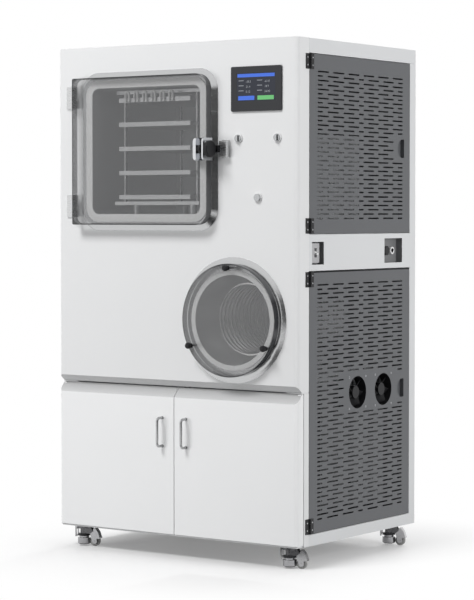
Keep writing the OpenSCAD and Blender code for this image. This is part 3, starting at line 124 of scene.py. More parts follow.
def drifting_surface(name, group, scale_name, scale, low, high, roughness, spread,
                     stretch=(1, 1, 1)):
    """A material whose colour and roughness drift with a group's tone, and its main nodes."""
    material = bpy.data.materials.new(name)
    material.use_nodes = True
    tree = material.node_tree
    shader = tree.nodes["Principled BSDF"]
    place = add_node(tree, "ShaderNodeTexCoord").outputs["Object"]
    if stretch != (1, 1, 1):
        turn = add_node(tree, "ShaderNodeMapping")
        turn.inputs["Scale"].default_value = stretch
        tree.links.new(place, turn.inputs["Vector"])
        place = turn.outputs["Vector"]
    skin = add_node(tree, "ShaderNodeGroup", node_tree=group)
    skin.inputs[scale_name].default_value = scale
    tone = add_node(tree, "ShaderNodeMix", data_type="RGBA")
    tone.inputs[6].default_value = (*low, 1)
    tone.inputs[7].default_value = (*high, 1)
    gloss = map_range(tree, skin.outputs["Tone"], TONE_SPAN,
                      (max(0.02, roughness - spread), roughness + spread))
    tree.links.new(place, skin.inputs["Vector"])
    tree.links.new(skin.outputs["Tone"], tone.inputs[0])
    tree.links.new(tone.outputs[2], shader.inputs["Base Color"])
    tree.links.new(gloss, shader.inputs["Roughness"])
    return material, shader, skin


def add_relief(material, shader, skin, strength, depth):
    """Raises a group's height as a fine relief."""
    tree = material.node_tree
    bump = add_node(tree, "ShaderNodeBump", Strength=strength, Distance=depth)
    tree.links.new(skin.outputs["Height"], bump.inputs["Height"])
    tree.links.new(bump.outputs["Normal"], shader.inputs["Normal"])


def skin_material(name, low, high, roughness, grain=900.0, depth=0.00012, coat=0.0,
                  strength=0.35, sheen=0.5):
    """A coated or moulded surface whose tone drifts between two colours."""
    material, shader, skin = drifting_surface(name, powder_skin, "Grain Scale", grain, low, high,
                                              roughness, COAT_SPREAD)
    add_relief(material, shader, skin, strength, depth)
    shader.inputs["Coat Weight"].default_value = coat
    shader.inputs["Specular IOR Level"].default_value = sheen
    return material


WELD_REACH = 0.000004   # corners of neighbouring faces lie closer together than this
EVEN_WEIGHT = 100       # large faces decide the shading of the small ones at their edges


def dress(name, material, edge=0.0, angle=30):
    """Gives a frame node its finish and smooth shading, with broken edges if asked."""
    node = nodes[name]
    node.data.materials.clear()
    node.data.materials.append(material)
    pick(node)
    if node.data.has_custom_normals:
        bpy.ops.mesh.customdata_custom_splitnormals_clear()
    bpy.ops.object.shade_smooth()
    weld = node.modifiers.new("merged", "WELD")
    weld.merge_threshold = WELD_REACH
    if edge:
        rim = node.modifiers.new("broken edges", "BEVEL")
        rim.width = edge
        rim.segments = 2
        rim.limit_method = "ANGLE"
        rim.angle_limit = math.radians(angle)
        rim.use_clamp_overlap = True
        even = node.modifiers.new("even shading", "WEIGHTED_NORMAL")
        even.weight = EVEN_WEIGHT
    else:
        split = node.modifiers.new("crisp edges", "EDGE_SPLIT")
        split.split_angle = math.radians(angle)


def paint_faces(name, material, test):
    """Gives a second finish to a node's faces that pass a test on their centre and normal."""
    node = nodes[name]
    node.data.materials.append(material)
    slot = len(node.data.materials) - 1
    for face in node.data.polygons:
        if test(face.center, face.normal):
            face.material_index = slot


pale_coat = skin_material("pale_powder_coat", (0.68, 0.69, 0.70), (0.74, 0.75, 0.76),
                          roughness=0.46)
dress("cabinet_frame", pale_coat)
dress("equipment_deck", pale_coat)
dress("roof", pale_coat, edge=0.0012)
dress("left_panel", pale_coat, edge=0.0008)
dress("rear_panel", pale_coat)

# ---------------------------------------------------------------- front cover
# One folded sheet with rounded upright corners and a sloping foot over the doors. It is powder
# coated white, with the cut-outs for the two vessels and raised collars round the controls.

white_coat = skin_material("white_powder_coat", (0.76, 0.765, 0.77), (0.80, 0.805, 0.81),
                           roughness=0.42)
dress("front_cover", white_coat, edge=0.0006)
cover_low, cover_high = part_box("front_cover")
# The frame's faces beside the front doors, below the cover, have the cover's coat
FACE_SLACK = 0.0002
paint_faces("cabinet_frame", white_coat, lambda centre, normal:
            centre.y < cover_high.y + FACE_SLACK and centre.z < cover_low.z)

# ---------------------------------------------------------------- front doors and handles
# Two folded steel doors on hidden pivots, coated like the cover. Each handle is one bent rod of
# polished steel, held by two screws from behind.

# Fine lines of a brushed or rolled metal
brushed_lines = surface_group("brushed_lines", "Line Scale", {"Detail": 4.0, "Roughness": 0.6}, (
    {"Scale": 7.0, "Detail": 3.0, "Roughness": 0.5},), 0.4)
LINE_STRENGTH = 0.25


def metal_material(name, low, high, roughness, stretch=(1, 1, 1), lines=400.0, depth=0.00004,
                   spread=0.08):
    """Bare metal with fine lines that run along the axis with the smallest stretch."""
    material, shader, grain = drifting_surface(name, brushed_lines, "Line Scale", lines, low, high,
                                               roughness, spread, stretch)
    add_relief(material, shader, grain, LINE_STRENGTH, depth)
    shader.inputs["Metallic"].default_value = 1.0
    return material


def paint_shade_by_height(material, heights, shares):
    """Paints shade into a coat between two heights, as under a lip that keeps the light off."""
    tree = material.node_tree
    shader = tree.nodes["Principled BSDF"]
    coat = shader.inputs["Base Color"].links[0].from_socket
    place = add_node(tree, "ShaderNodeTexCoord")
    split = add_node(tree, "ShaderNodeSeparateXYZ")
    shade = add_node(tree, "ShaderNodeVectorMath", operation="SCALE")
    tree.links.new(place.outputs["Object"], split.inputs["Vector"])
    tree.links.new(coat, shade.inputs[0])
    tree.links.new(map_range(tree, split.outputs["Z"], heights, shares), shade.inputs["Scale"])
    tree.links.new(shade.outputs["Vector"], shader.inputs["Base Color"])


DOOR_TONES = (0.86, 0.865, 0.87), (0.90, 0.905, 0.91)
DOOR_GLOSS = 0.42
door_coat = skin_material("door_powder_coat", *DOOR_TONES, DOOR_GLOSS)
slope_painted_shade = skin_material("door_slope_painted_shade", *DOOR_TONES, DOOR_GLOSS)
# Painted shade, darker from the slope's foot up to the groove, where the cover's lip takes the
# light
paint_shade_by_height(slope_painted_shade, (cover_low.z - 0.035, cover_low.z - 0.003), (0.64, 0.43))
SLANT = 0.3             # a face leans back when both its upward and its forward part pass this
for name in ("left_front_door", "right_front_door"):
    dress(name, door_coat, edge=0.0008)
    paint_faces(name, slope_painted_shade, lambda centre, normal: normal.z > SLANT and normal.y < -SLANT)
polished_steel = metal_material("polished_steel", (0.40, 0.405, 0.41), (0.50, 0.505, 0.51),
                                roughness=0.12, lines=220.0, spread=0.04)
dress("left_handle", polished_steel)
dress("right_handle", polished_steel)

# ---------------------------------------------------------------- casters
# Levelling casters: a plated yoke with a dark toothed dial, a grey nylon wheel with round windows,
# and a foot of plated steel on a rubber sole. Four screws hold each top plate under the floor.

satin_chrome = metal_material("satin_chrome", (0.62, 0.63, 0.65), (0.76, 0.77, 0.79),
                              roughness=0.16, lines=150.0, spread=0.05)
dark_zinc = metal_material("dark_zinc", (0.10, 0.10, 0.105), (0.17, 0.17, 0.175), roughness=0.28,
                           lines=150.0)
foot_zinc = metal_material("foot_zinc", (0.32, 0.32, 0.33), (0.42, 0.42, 0.43), roughness=0.16,
                           stretch=(1, 1, 8), lines=90.0, spread=0.04)
guard_zinc = metal_material("guard_zinc", (0.38, 0.38, 0.39), (0.50, 0.50, 0.51), roughness=0.18,
                            lines=150.0, spread=0.05)
wheel_nylon = skin_material("wheel_nylon", (0.34, 0.34, 0.335), (0.42, 0.42, 0.415),
                            roughness=0.42, grain=700.0)
# Painted shade for the walls of the wheel's round windows
window_painted_shade = skin_material("wheel_window_painted_shade", (0.03, 0.03, 0.032), (0.05, 0.05, 0.052),
                             roughness=0.6, grain=500.0, sheen=0.25)
dial_black = skin_material("dial_black", (0.03, 0.03, 0.033), (0.05, 0.05, 0.054), roughness=0.4,
                           grain=700.0, sheen=0.25)
sole_rubber = skin_material("sole_rubber", (0.012, 0.012, 0.013), (0.02, 0.02, 0.022),
                            roughness=0.75, grain=500.0, sheen=0.25)


def finish_piece(piece, material, body, name):
    """Names a finished piece, puts its place into its mesh and hangs it on its body."""
    pick(piece)
    bpy.ops.object.transform_apply(location=True, rotation=True, scale=True)
    piece.name = name
    piece.data.materials.clear()
    piece.data.materials.append(material)
    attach(piece, body)
    return piece


ROUND_SHADE = math.radians(35)      # faces that meet at less than this are shaded as one


def bevel_all(piece, width):
    """Breaks all edges of a piece, and shades it smooth."""
    rim = piece.modifiers.new("rim", "BEVEL")
    rim.width = width
    rim.segments = 2
    rim.limit_method = "ANGLE"
    rim.angle_limit = math.radians(30)
    pick(piece)
    bpy.ops.object.modifier_apply(modifier="rim")
    bpy.ops.object.shade_smooth_by_angle(angle=ROUND_SHADE)


SOLE_INSET = 0.0052     # from the foot's rim to the sole's
SOLE_THICK = 0.0034
SOLE_SUNK = 0.0002      # how far the sole's underside lies below the foot's
SOLE_ROUND = 0.0008


def foot_sole(index):
    """A rubber boot pressed over the pad under a levelling foot."""
    low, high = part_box(f"caster_foot_{index}")
    centre = (low + high) / 2
    deselect()
    bpy.ops.mesh.primitive_cylinder_add(
        vertices=64, radius=(high.x - low.x) / 2 - SOLE_INSET, depth=SOLE_THICK,
        location=(centre.x, centre.y, low.z + SOLE_THICK / 2 - SOLE_SUNK))
    sole = bpy.context.object
    bevel_all(sole, SOLE_ROUND)
    finish_piece(sole, sole_rubber, f"caster_foot_{index}_body",
                 f"foot_sole_{index}")


TRAIL_ANGLE = math.radians(20)      # all four casters trail to this side of the X axis
TRAIL = Vector((math.cos(TRAIL_ANGLE), math.sin(TRAIL_ANGLE), 0))
WHEEL_AXIS = Vector((-TRAIL.y, TRAIL.x, 0))
# Where the yoke's parts lie, along the trail from the wheel's axle or the swivel, and in height
ARMS_FROM_AXLE, ARMS_TOP = 0.014, 0.036
GUARD_FROM_AXLE = 0.0052
HOOD_BACK, HOOD_FOOT = 0.0235, 0.03
DIAL_HEIGHTS = (0.0355, 0.0435)
DIAL_RADII = (0.0132, 0.0225)
WINDOW_RADII = (0.004, 0.0122)
CUT_WALL = 0.4          # a wall cut through the wheel faces its axis by less than this


def caster_looks(index):
    """Yoke in dark zinc with a paler hood and guard, a black dial, painted shade in the wheel's
    windows.
    """
    dress(f"caster_yoke_{index}", dark_zinc, edge=0.0004)
    dress(f"caster_wheel_{index}", wheel_nylon)
    dress(f"caster_foot_{index}", foot_zinc)
    low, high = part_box(f"caster_foot_{index}")
    swivel = (low + high) / 2
    low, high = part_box(f"caster_wheel_{index}")
    hub = (low + high) / 2
    reach = (hub - swivel).dot(TRAIL)

    def hood_or_guard(centre, normal):
        along = (centre - swivel).dot(TRAIL)
        arms = along > reach - ARMS_FROM_AXLE and centre.z < ARMS_TOP
        hood = along < -HOOD_BACK and centre.z > HOOD_FOOT
        return arms or along > reach - GUARD_FROM_AXLE or hood

    def dial(centre, normal):
        out = math.hypot(centre.x - swivel.x, centre.y - swivel.y)
        return (DIAL_HEIGHTS[0] < centre.z < DIAL_HEIGHTS[1]
                and DIAL_RADII[0] < out < DIAL_RADII[1])

    def window(centre, normal):
        arm = centre - hub - WHEEL_AXIS * (centre - hub).dot(WHEEL_AXIS)
        return (abs(normal.dot(WHEEL_AXIS)) < CUT_WALL
                and WINDOW_RADII[0] < arm.length < WINDOW_RADII[1])

    paint_faces(f"caster_yoke_{index}", guard_zinc, hood_or_guard)
    paint_faces(f"caster_yoke_{index}", dial_black, dial)
    paint_faces(f"caster_wheel_{index}", window_painted_shade, window)
    foot_sole(index)


for number in range(1, 5):
    caster_looks(number)
dress("caster_plates", satin_chrome)

# ---------------------------------------------------------------- side doors and hinges
# Perforated doors of folded steel, coated mid grey, each with a half-moon finger pull. Black
# hinges with pressed knuckles are screwed to the door and to the cabinet's edge.

grey_coat = skin_material("grey_powder_coat", (0.102, 0.106, 0.113), (0.120, 0.124, 0.132),
                          roughness=0.45, grain=1100.0)
black_coat = skin_material("black_powder_coat", (0.012, 0.012, 0.013), (0.022, 0.022, 0.024),
                           roughness=0.38, sheen=0.25)
dress("upper_side_door", grey_coat)
dress("lower_side_door", grey_coat)
dress("side_hinge_bases", black_coat)
screw_steel = metal_material("screw_steel", (0.42, 0.43, 0.45), (0.58, 0.59, 0.6), roughness=0.3,
                             lines=120.0)
KNUCKLE_OUT = 0.0085    # the hinges' knuckles stand this far out from the doors' skin
SCREW_OUT = 0.0032      # the heads of the hinge screws begin this far out
SCREW_FROM_PIVOT, SCREW_REACH = 0.015, 0.0035
SKIN = 0.0022           # just more than the doors' sheet
RIM = 0.004             # the folded rim keeps the door's own coat
FLAT = 0.5              # a cut wall faces sideways by less than this
side_face = cad_high.x - KNUCKLE_OUT
pivot_y = cover_high.y + 0.002      # the hinges' pins stand this far behind the cover
LEAF_OUT = 0.0003       # a leaf's faces lie further out than this


def leaf_screw(centre, normal):
    from_pivot = abs(centre.y - pivot_y)
    return (centre.x > side_face + SCREW_OUT
            and abs(from_pivot - SCREW_FROM_PIVOT) < SCREW_REACH)


paint_faces("side_hinge_bases", screw_steel, leaf_screw)
for name in ("upper_side_door", "lower_side_door"):
    # The hinge leaves stand proud of the door's skin; the slots' cut walls get black as painted
    # shade for the dark seen through the holes
    door_low, door_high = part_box(name)
    paint_faces(name, black_coat, lambda centre, normal: centre.x > side_face + LEAF_OUT)
    paint_faces(name, black_coat, lambda centre, normal:
                abs(normal.x) < FLAT and centre.x > side_face - SKIN
                and door_low.y + RIM < centre.y < door_high.y - RIM
                and door_low.z + RIM < centre.z < door_high.z - RIM)
    paint_faces(name, screw_steel, leaf_screw)


def seal_strip_shade():
    """A flat black strip along the lower side door's top edge: a seal, and painted shade for the
    gap between it and the band.
    """
    low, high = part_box("lower_side_door")
    thick, tall, end_gap = 0.0012, 0.0042, 0.0005
    deselect()
    bpy.ops.mesh.primitive_cube_add(size=1, location=(
        side_face, (low.y + high.y) / 2, high.z - tall / 2 - 0.0001))
    strip = bpy.context.object
    strip.scale = (thick, high.y - low.y - 2 * end_gap, tall)
    bpy.ops.object.transform_apply(location=False, rotation=False, scale=True)
    bevel_all(strip, 0.0003)
    finish_piece(strip, sole_rubber, "lower_side_door_body", "seal_strip_shade")


seal_strip_shade()

# ---------------------------------------------------------------- fans
# Two axial fans behind round holes in the lower door: moulded black frames and rotors, and the
# four bright screws that hold each to the sheet.

black_plastic = skin_material("black_moulded_plastic", (0.012, 0.012, 0.013), (0.02, 0.02, 0.022),
                              roughness=0.42, grain=1400.0, sheen=0.25)
dress("fan_frames", black_plastic)
dress("fan_rotor_1", black_plastic)
dress("fan_rotor_2", black_plastic)


def pan_screw(location, radius, facing, body, name, material):
    """A round-headed screw with a cross recess, its head lying on a surface that faces one way."""
    recess_high, recess_long, recess_wide, recess_deep = (
        radius * share for share in (0.55, 1.15, 0.24, 0.5))
    deselect()
    bpy.ops.mesh.primitive_uv_sphere_add(segments=20, ring_count=10, radius=radius)
    head = bpy.context.object
    head.scale = (1, 1, 0.5)    # half as high as a ball
    bpy.ops.object.transform_apply(location=False, rotation=False, scale=True)
    bpy.ops.object.mode_set(mode="EDIT")
    bpy.ops.mesh.select_all(action="SELECT")
    bpy.ops.mesh.bisect(plane_co=(0, 0, 0), plane_no=(0, 0, 1), use_fill=True, clear_inner=True)
    bpy.ops.object.mode_set(mode="OBJECT")
    for angle in (0, math.pi / 2):
        bpy.ops.mesh.primitive_cube_add(size=1, location=(0, 0, recess_high),
                                        rotation=(0, 0, angle))
        bar = bpy.context.object
        bar.scale = (recess_long, recess_wide, recess_deep)
        cut = head.modifiers.new("recess", "BOOLEAN")
        cut.operation = "DIFFERENCE"
        cut.object = bar
        pick(head)
        bpy.ops.object.modifier_apply(modifier="recess")
        bpy.data.objects.remove(bar)
    turn = Vector((0, 0, 1)).rotation_difference(Vector(facing))
    head.data.transform(Matrix.Translation(Vector(location)) @ turn.to_matrix().to_4x4())
    pick(head)
    bpy.ops.object.shade_smooth_by_angle(angle=ROUND_SHADE)
    return finish_piece(head, material, body, name)


def screw_set(places, radius, facing, body, name, material):
    """Like screws on one body, modelled once and joined into one piece."""
    first = pan_screw(places[0], radius, facing, body, name, material)
    copies = []
    for place in places[1:]:
        copy = first.copy()
        copy.data = first.data.copy()
        copy.data.transform(Matrix.Translation(Vector(place) - Vector(places[0])))
        bpy.context.scene.collection.objects.link(copy)
        copies.append(copy)
    pick(first)
    for copy in copies:
        copy.select_set(True)
    if copies:
        bpy.ops.object.join()


FAN_HOLES = 0.105       # pitch of the screw holes in a fan's frame
FAN_SCREW = 0.0038      # radius of a screw's head
DOOR_SHEET = 0.002
fan_low, fan_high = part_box("fan_frames")
fan_side = fan_high.z - fan_low.z
fan_rows = [fan_low.z + (fan_side + end * FAN_HOLES) / 2 for end in (-1, 1)]
fan_middles = (fan_low.y + fan_side / 2, fan_high.y - fan_side / 2)
fan_screw_places = [(fan_high.x + DOOR_SHEET, middle + end * FAN_HOLES / 2, row)
                    for middle in fan_middles for end in (-1, 1) for row in fan_rows]
screw_set(fan_screw_places, FAN_SCREW, (1, 0, 0), "lower_side_door_body",
          "fan_screws", screw_steel)

# ---------------------------------------------------------------- service band
# The pale band between the side doors has two pockets pressed into it: one round the main breaker
# with its toggle, and one round the vent valve's black knob and the white hose port.

pale_plastic = skin_material("pale_plastic", (0.86, 0.86, 0.855), (0.90, 0.90, 0.895),
                             roughness=0.4, grain=1200.0)
grey_plastic = skin_material("grey_plastic", (0.42, 0.42, 0.43), (0.48, 0.48, 0.49),
                             roughness=0.45, grain=1200.0)
dress("breaker_body", grey_plastic, edge=0.0008)
dress("breaker_lever", pale_plastic, edge=0.0006)
dress("vent_port", pale_plastic, edge=0.0006)
dress("valve_knob", black_plastic, edge=0.0006)
port_low, port_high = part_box("vent_port")
port_middle = (port_low + port_high) / 2
breaker_low, breaker_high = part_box("breaker_body")
knob_low, knob_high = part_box("valve_knob")
# Painted shade: the pockets' walls and backs get a dark grey for the shade inside them
pocket_painted_shade = skin_material("pocket_wall_painted_shade", (0.17, 0.172, 0.176), (0.21, 0.212, 0.216),
                            roughness=0.5)
PORT_BORE = 0.0077      # just more than the bore's radius
MARGIN = 0.0003


def inside(low, high):
    """A test for faces whose centre lies in a box."""
    return lambda centre, normal: all(
        low[axis] - MARGIN <= centre[axis] <= high[axis] + MARGIN for axis in range(3))


# Room in Y and Z round what a pocket holds: before its low corner, and past its high corner
BREAKER_ROOM = (0.0135, 0.006), (0.0135, 0.005)
VALVE_ROOM = (0.016, 0.0255), (0.025, 0.0265)
valve_high = Vector((0, port_high.y, knob_high.z))
# Each pocket reaches from the breaker's back nearly to the band's face
pocket_back, band_face = breaker_low.x, side_face - 0.0005
for low, high, (before, after) in ((breaker_low, breaker_high, BREAKER_ROOM),
                                   (knob_low, valve_high, VALVE_ROOM)):
    paint_faces("cabinet_frame", pocket_painted_shade, inside(
        (pocket_back, low.y - before[0], low.z - before[1]),
        (band_face, high.y + after[0], high.z + after[1])))
# The port's bore is painted black inside, as painted shade for the dark hole
paint_faces("vent_port", black_plastic, lambda centre, normal:
            math.hypot(centre.y - port_middle.y, centre.z - port_middle.z) < PORT_BORE)

# ---------------------------------------------------------------- drying chamber
# A square vessel of satin stainless steel with a sloping flange, a pale silicone gasket, and a
# rack of flat shelves hung on rods, fed by short hoses at the top.

stainless = metal_material("satin_stainless", (0.50, 0.505, 0.51), (0.60, 0.605, 0.61),
                           roughness=0.23, stretch=(1, 1, 14), lines=60.0, spread=0.05)
vessel_wall = metal_material("vessel_wall", (0.76, 0.765, 0.77), (0.82, 0.825, 0.83),
                             roughness=0.5, stretch=(1, 1, 14), lines=60.0)
shelf_metal = metal_material("shelf_aluminium", (0.66, 0.665, 0.67), (0.74, 0.745, 0.75),
                             roughness=0.36, stretch=(1, 12, 12), lines=60.0)
silicone = skin_material("silicone_rubber", (0.93, 0.93, 0.925), (0.96, 0.96, 0.955),
                         roughness=0.5, grain=400.0)
dress("drying_chamber", stainless, edge=0.0012)
WALL_FROM = 0.004       # the flanges' own faces lie nearer to the cover's front than this


def behind_flange(centre, normal):
    return centre.y > cover_low.y + WALL_FROM


# Behind the flange the vessels' walls are blasted matt
paint_faces("drying_chamber", vessel_wall, behind_flange)
dress("chamber_gasket", silicone, edge=0.0012)
dress("shelf_rack", shelf_metal, edge=0.0006)
rack_low, rack_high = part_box("shelf_rack")
rack_middle = (rack_low.x + rack_high.x) / 2
ROD_SIDE = 0.154        # from the rack's middle to a rod
ROD_REACH = 0.0063      # just more than a rod's radius
rod_rows = (rack_low.y + 0.048, rack_high.y - 0.040)    # in from the rack's front and back


def hanging_rod(centre, normal):
    across = abs(abs(centre.x - rack_middle) - ROD_SIDE)
    return any(math.hypot(across, centre.y - row) < ROD_REACH for row in rod_rows)


paint_faces("shelf_rack", dark_zinc, hanging_rod)
dress("shelf_hoses", silicone)

# ---------------------------------------------------------------- chamber door and latch
# A thick plate of smoked acrylic with polished edges on two steel hinges. Its latch is a steel
# bracket with a dark turned knob that draws a tongue into the keeper on the cover.


def box_reach_group():
    """How far a place lies outside a box that is given by its middle and its half size."""
    group, inlet, outlet = start_group(
        "box_reach", {"Vector": "Vector", "Middle": "Vector", "Half Size": "Vector"},
        {"Reach": "Float"})
    offset, folded, beyond, outside, reach = [
        add_node(group, "ShaderNodeVectorMath", operation=step)
        for step in ("SUBTRACT", "ABSOLUTE", "SUBTRACT", "MAXIMUM", "LENGTH")]
    group.links.new(inlet.outputs["Vector"], offset.inputs[0])
    group.links.new(inlet.outputs["Middle"], offset.inputs[1])
    group.links.new(offset.outputs["Vector"], folded.inputs[0])
    group.links.new(folded.outputs["Vector"], beyond.inputs[0])
    group.links.new(inlet.outputs["Half Size"], beyond.inputs[1])
    group.links.new(beyond.outputs["Vector"], outside.inputs[0])
    group.links.new(outside.outputs["Vector"], reach.inputs[0])
    group.links.new(reach.outputs["Value"], outlet.inputs["Reach"])
    return group


box_reach = box_reach_group()


def reach_outside(tree, middle, half_size):
    """Places the group in a material, and returns its socket."""
    place = add_node(tree, "ShaderNodeTexCoord")
    reach = add_node(tree, "ShaderNodeGroup", node_tree=box_reach)
    reach.inputs["Middle"].default_value = middle
    reach.inputs["Half Size"].default_value = half_size
    tree.links.new(place.outputs["Object"], reach.inputs["Vector"])
    return reach.outputs["Reach"]


def larger(tree, first, second):
    """The larger of two values, as a socket."""
    node = add_node(tree, "ShaderNodeMath", operation="MAXIMUM")
    tree.links.new(first, node.inputs[0])
    tree.links.new(second, node.inputs[1])
    return node.outputs["Value"]


ACRYLIC_GRAIN = 30.0
ACRYLIC_DRIFT = 0.06    # how far the colour drifts to each side
ACRYLIC_BEND = 1.49     # index of refraction
SLANT_BLEND = 0.35


def acrylic_material(name, colour, face_alpha, rim_alpha, roughness):
    """Smoked acrylic: seen through straight on, and closing up at a shallow angle."""
    material = bpy.data.materials.new(name)
    material.use_nodes = True
    tree = material.node_tree
    shader = tree.nodes["Principled BSDF"]
    place = add_node(tree, "ShaderNodeTexCoord")
    skin = add_node(tree, "ShaderNodeGroup", node_tree=powder_skin)
    skin.inputs["Grain Scale"].default_value = ACRYLIC_GRAIN
    tone = add_node(tree, "ShaderNodeMix", data_type="RGBA")
    tone.inputs[6].default_value = (*[part * (1 - ACRYLIC_DRIFT) for part in colour], 1)
    tone.inputs[7].default_value = (*[part * (1 + ACRYLIC_DRIFT) for part in colour], 1)
    slant = add_node(tree, "ShaderNodeLayerWeight", Blend=SLANT_BLEND)
    veil = map_range(tree, slant.outputs["Facing"], (0, 1), (face_alpha, rim_alpha))
    tree.links.new(place.outputs["Object"], skin.inputs["Vector"])
    tree.links.new(skin.outputs["Tone"], tone.inputs[0])
    tree.links.new(tone.outputs[2], shader.inputs["Base Color"])
    tree.links.new(veil, shader.inputs["Alpha"])
    shader.inputs["Roughness"].default_value = roughness
    shader.inputs["IOR"].default_value = ACRYLIC_BEND
    return material


OUTLINE = (0.0055, 0.0025)      # how far from a pane's edge its painted dark outline starts and is full
OUTLINE_ALPHA = 0.75
OUTLINE_SHADE_COLOUR = (0.03, 0.031, 0.033, 1)


def paint_outline_shade(material, pane, corner):
    """Paints shade into the last millimetres of a pane, where its cut edges show dark through it.
    """
    tree = material.node_tree
    shader = tree.nodes["Principled BSDF"]
    colour, alpha = (shader.inputs[key].links[0].from_socket for key in ("Base Color", "Alpha"))
    low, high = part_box(pane)
    half = (high - low) / 2
    reach = reach_outside(tree, (low + high) / 2, (half.x - corner, half.y, half.z - corner))
    edge = map_range(tree, reach, (corner - OUTLINE[0], corner - OUTLINE[1]), (0, 1),
                     interpolation_type="SMOOTHSTEP")
    darker = add_node(tree, "ShaderNodeMix", data_type="RGBA")
    darker.inputs[7].default_value = OUTLINE_SHADE_COLOUR
    tree.links.new(edge, darker.inputs[0])
    tree.links.new(colour, darker.inputs[6])
    tree.links.new(darker.outputs[2], shader.inputs["Base Color"])
    closed = map_range(tree, edge, (0, 1), (0, OUTLINE_ALPHA))
    tree.links.new(larger(tree, alpha, closed), shader.inputs["Alpha"])


def paint_shadow_beside(material, start, width, alpha):
    """Closes a pane up to the left of a place as painted shadow, where it has its own shadow
    behind it.
    """
    tree = material.node_tree
    shader = tree.nodes["Principled BSDF"]
    open_alpha = shader.inputs["Alpha"].links[0].from_socket
    place = add_node(tree, "ShaderNodeTexCoord")
    split = add_node(tree, "ShaderNodeSeparateXYZ")
    tree.links.new(place.outputs["Object"], split.inputs["Vector"])
    closed = map_range(tree, split.outputs["X"], (start, start - width), (0, alpha))
    tree.links.new(larger(tree, open_alpha, closed), shader.inputs["Alpha"])


DOOR_CORNER = 0.030     # rounding of the door's outline
smoked_acrylic = acrylic_material("smoked_acrylic", (0.28, 0.283, 0.29), face_alpha=0.19,
                                  rim_alpha=0.55, roughness=0.04)
# Painted shadow left of the vessel, and painted shade along the pane's edges
paint_shadow_beside(smoked_acrylic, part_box("drying_chamber")[0].x, width=0.006, alpha=0.46)
paint_outline_shade(smoked_acrylic, "chamber_door", DOOR_CORNER)
half_clear_edge_shade = acrylic_material("half_clear_edge_shade", (0.05, 0.052, 0.055), face_alpha=0.74, rim_alpha=0.9,
                               roughness=0.08)
pane_edge_shade = skin_material("pane_edge_painted_shade", (0.028, 0.029, 0.031), (0.045, 0.046, 0.05),
                             roughness=0.12, grain=120.0, coat=0.4, strength=0.05)
dress("chamber_door", smoked_acrylic)
# All edges get painted shade, and the one nearest the light a paler, half-clear one that lets a
# little of it through
paint_faces("chamber_door", pane_edge_shade, lambda centre, normal: abs(normal.y) < FLAT)
paint_faces("chamber_door", half_clear_edge_shade, lambda centre, normal: normal.x < -FLAT)
hinge_steel = metal_material("hinge_steel", (0.60, 0.605, 0.61), (0.70, 0.705, 0.71),
                             roughness=0.28, stretch=(1, 1, 10), lines=70.0)
dress("chamber_hinge_bases", hinge_steel, edge=0.0008)
dress("chamber_hinge_leaves", hinge_steel, edge=0.0005)
dress("latch_bracket", satin_chrome, edge=0.0007)
dress("latch_keeper", hinge_steel, edge=0.001)
dress("latch_knob", black_coat, edge=0.0005)

# ---------------------------------------------------------------- ice condenser
# A round stainless vessel with a coned flange and a helical tube inside. A disc of smoked
# acrylic closes it, held by three black knobs on screws.

dress("condenser_vessel", stainless, edge=0.0012)
paint_faces("condenser_vessel", vessel_wall, behind_flange)
dress("condenser_gasket", silicone, edge=0.001)
coil_tube = metal_material("coil_tube", (0.80, 0.795, 0.78), (0.90, 0.895, 0.88), roughness=0.2,
                           lines=90.0)
dress("cooling_coil", coil_tube, angle=60)
lid_low, lid_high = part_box("condenser_lid")
lid_acrylic = acrylic_material("lid_acrylic", (0.36, 0.363, 0.37), face_alpha=0.21, rim_alpha=0.55,
                               roughness=0.04)
paint_outline_shade(lid_acrylic, "condenser_lid", (lid_high.x - lid_low.x) / 2)
dress("condenser_lid", lid_acrylic)
LID_FACE = 0.9          # only the lid's two flat faces face forward by more than this
# The lid's edges get the same painted shade as the door's, paler on the edge nearest the light
paint_faces("condenser_lid", pane_edge_shade, lambda centre, normal: abs(normal.y) < LID_FACE)
paint_faces("condenser_lid", half_clear_edge_shade, lambda centre, normal:
            abs(normal.y) < LID_FACE and normal.x < -SLANT)
for number in range(1, 4):
    dress(f"lid_knob_{number}", black_plastic)

# ---------------------------------------------------------------- controls
# Two turning selectors and one push button of brushed metal in the cover's raised collars.

control_metal = metal_material("control_metal", (0.42, 0.43, 0.44), (0.58, 0.59, 0.6),
                               roughness=0.26, lines=260.0)
for name in ("left_selector", "right_selector", "push_button"):
    dress(name, control_metal, edge=0.0006)

# ---------------------------------------------------------------- touch screen
# A dark satin bezel with a recessed display that shows plain readings: a blue bar, pale figures
# in two columns, and a blue and a green key.

bezel_plastic = skin_material("bezel_plastic", (0.02, 0.021, 0.024), (0.03, 0.031, 0.034),
                              roughness=0.55, grain=1000.0)
display_glass = skin_material("display_glass", (0.012, 0.016, 0.028), (0.016, 0.02, 0.034),
                              roughness=0.12, grain=50.0, strength=0.0)
dress("screen_housing", bezel_plastic, edge=0.0012)
dress("screen_display", display_glass)


def glow_material(name, colour, strength):
    """A colour that the display gives light in."""
    material = bpy.data.materials.new(name)
    material.use_nodes = True
    shader = material.node_tree.nodes["Principled BSDF"]
    shader.inputs["Base Color"].default_value = (*colour, 1)
    shader.inputs["Roughness"].default_value = 0.3
    shader.inputs["Emission Color"].default_value = (*colour, 1)
    shader.inputs["Emission Strength"].default_value = strength
    return material


screen_low, screen_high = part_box("screen_display")
screen_wide = screen_high.x - screen_low.x
screen_tall = screen_high.z - screen_low.z
FIELD_OUT, FIGURES_OUT = 0.0002, 0.0003     # how far these lie in front of the display's glass


def on_display(across, down, out):
    """A place on the display, given as shares of its width and height from the top left."""
    return (screen_low.x + screen_wide * across, screen_low.y - out,
            screen_high.z - screen_tall * down)


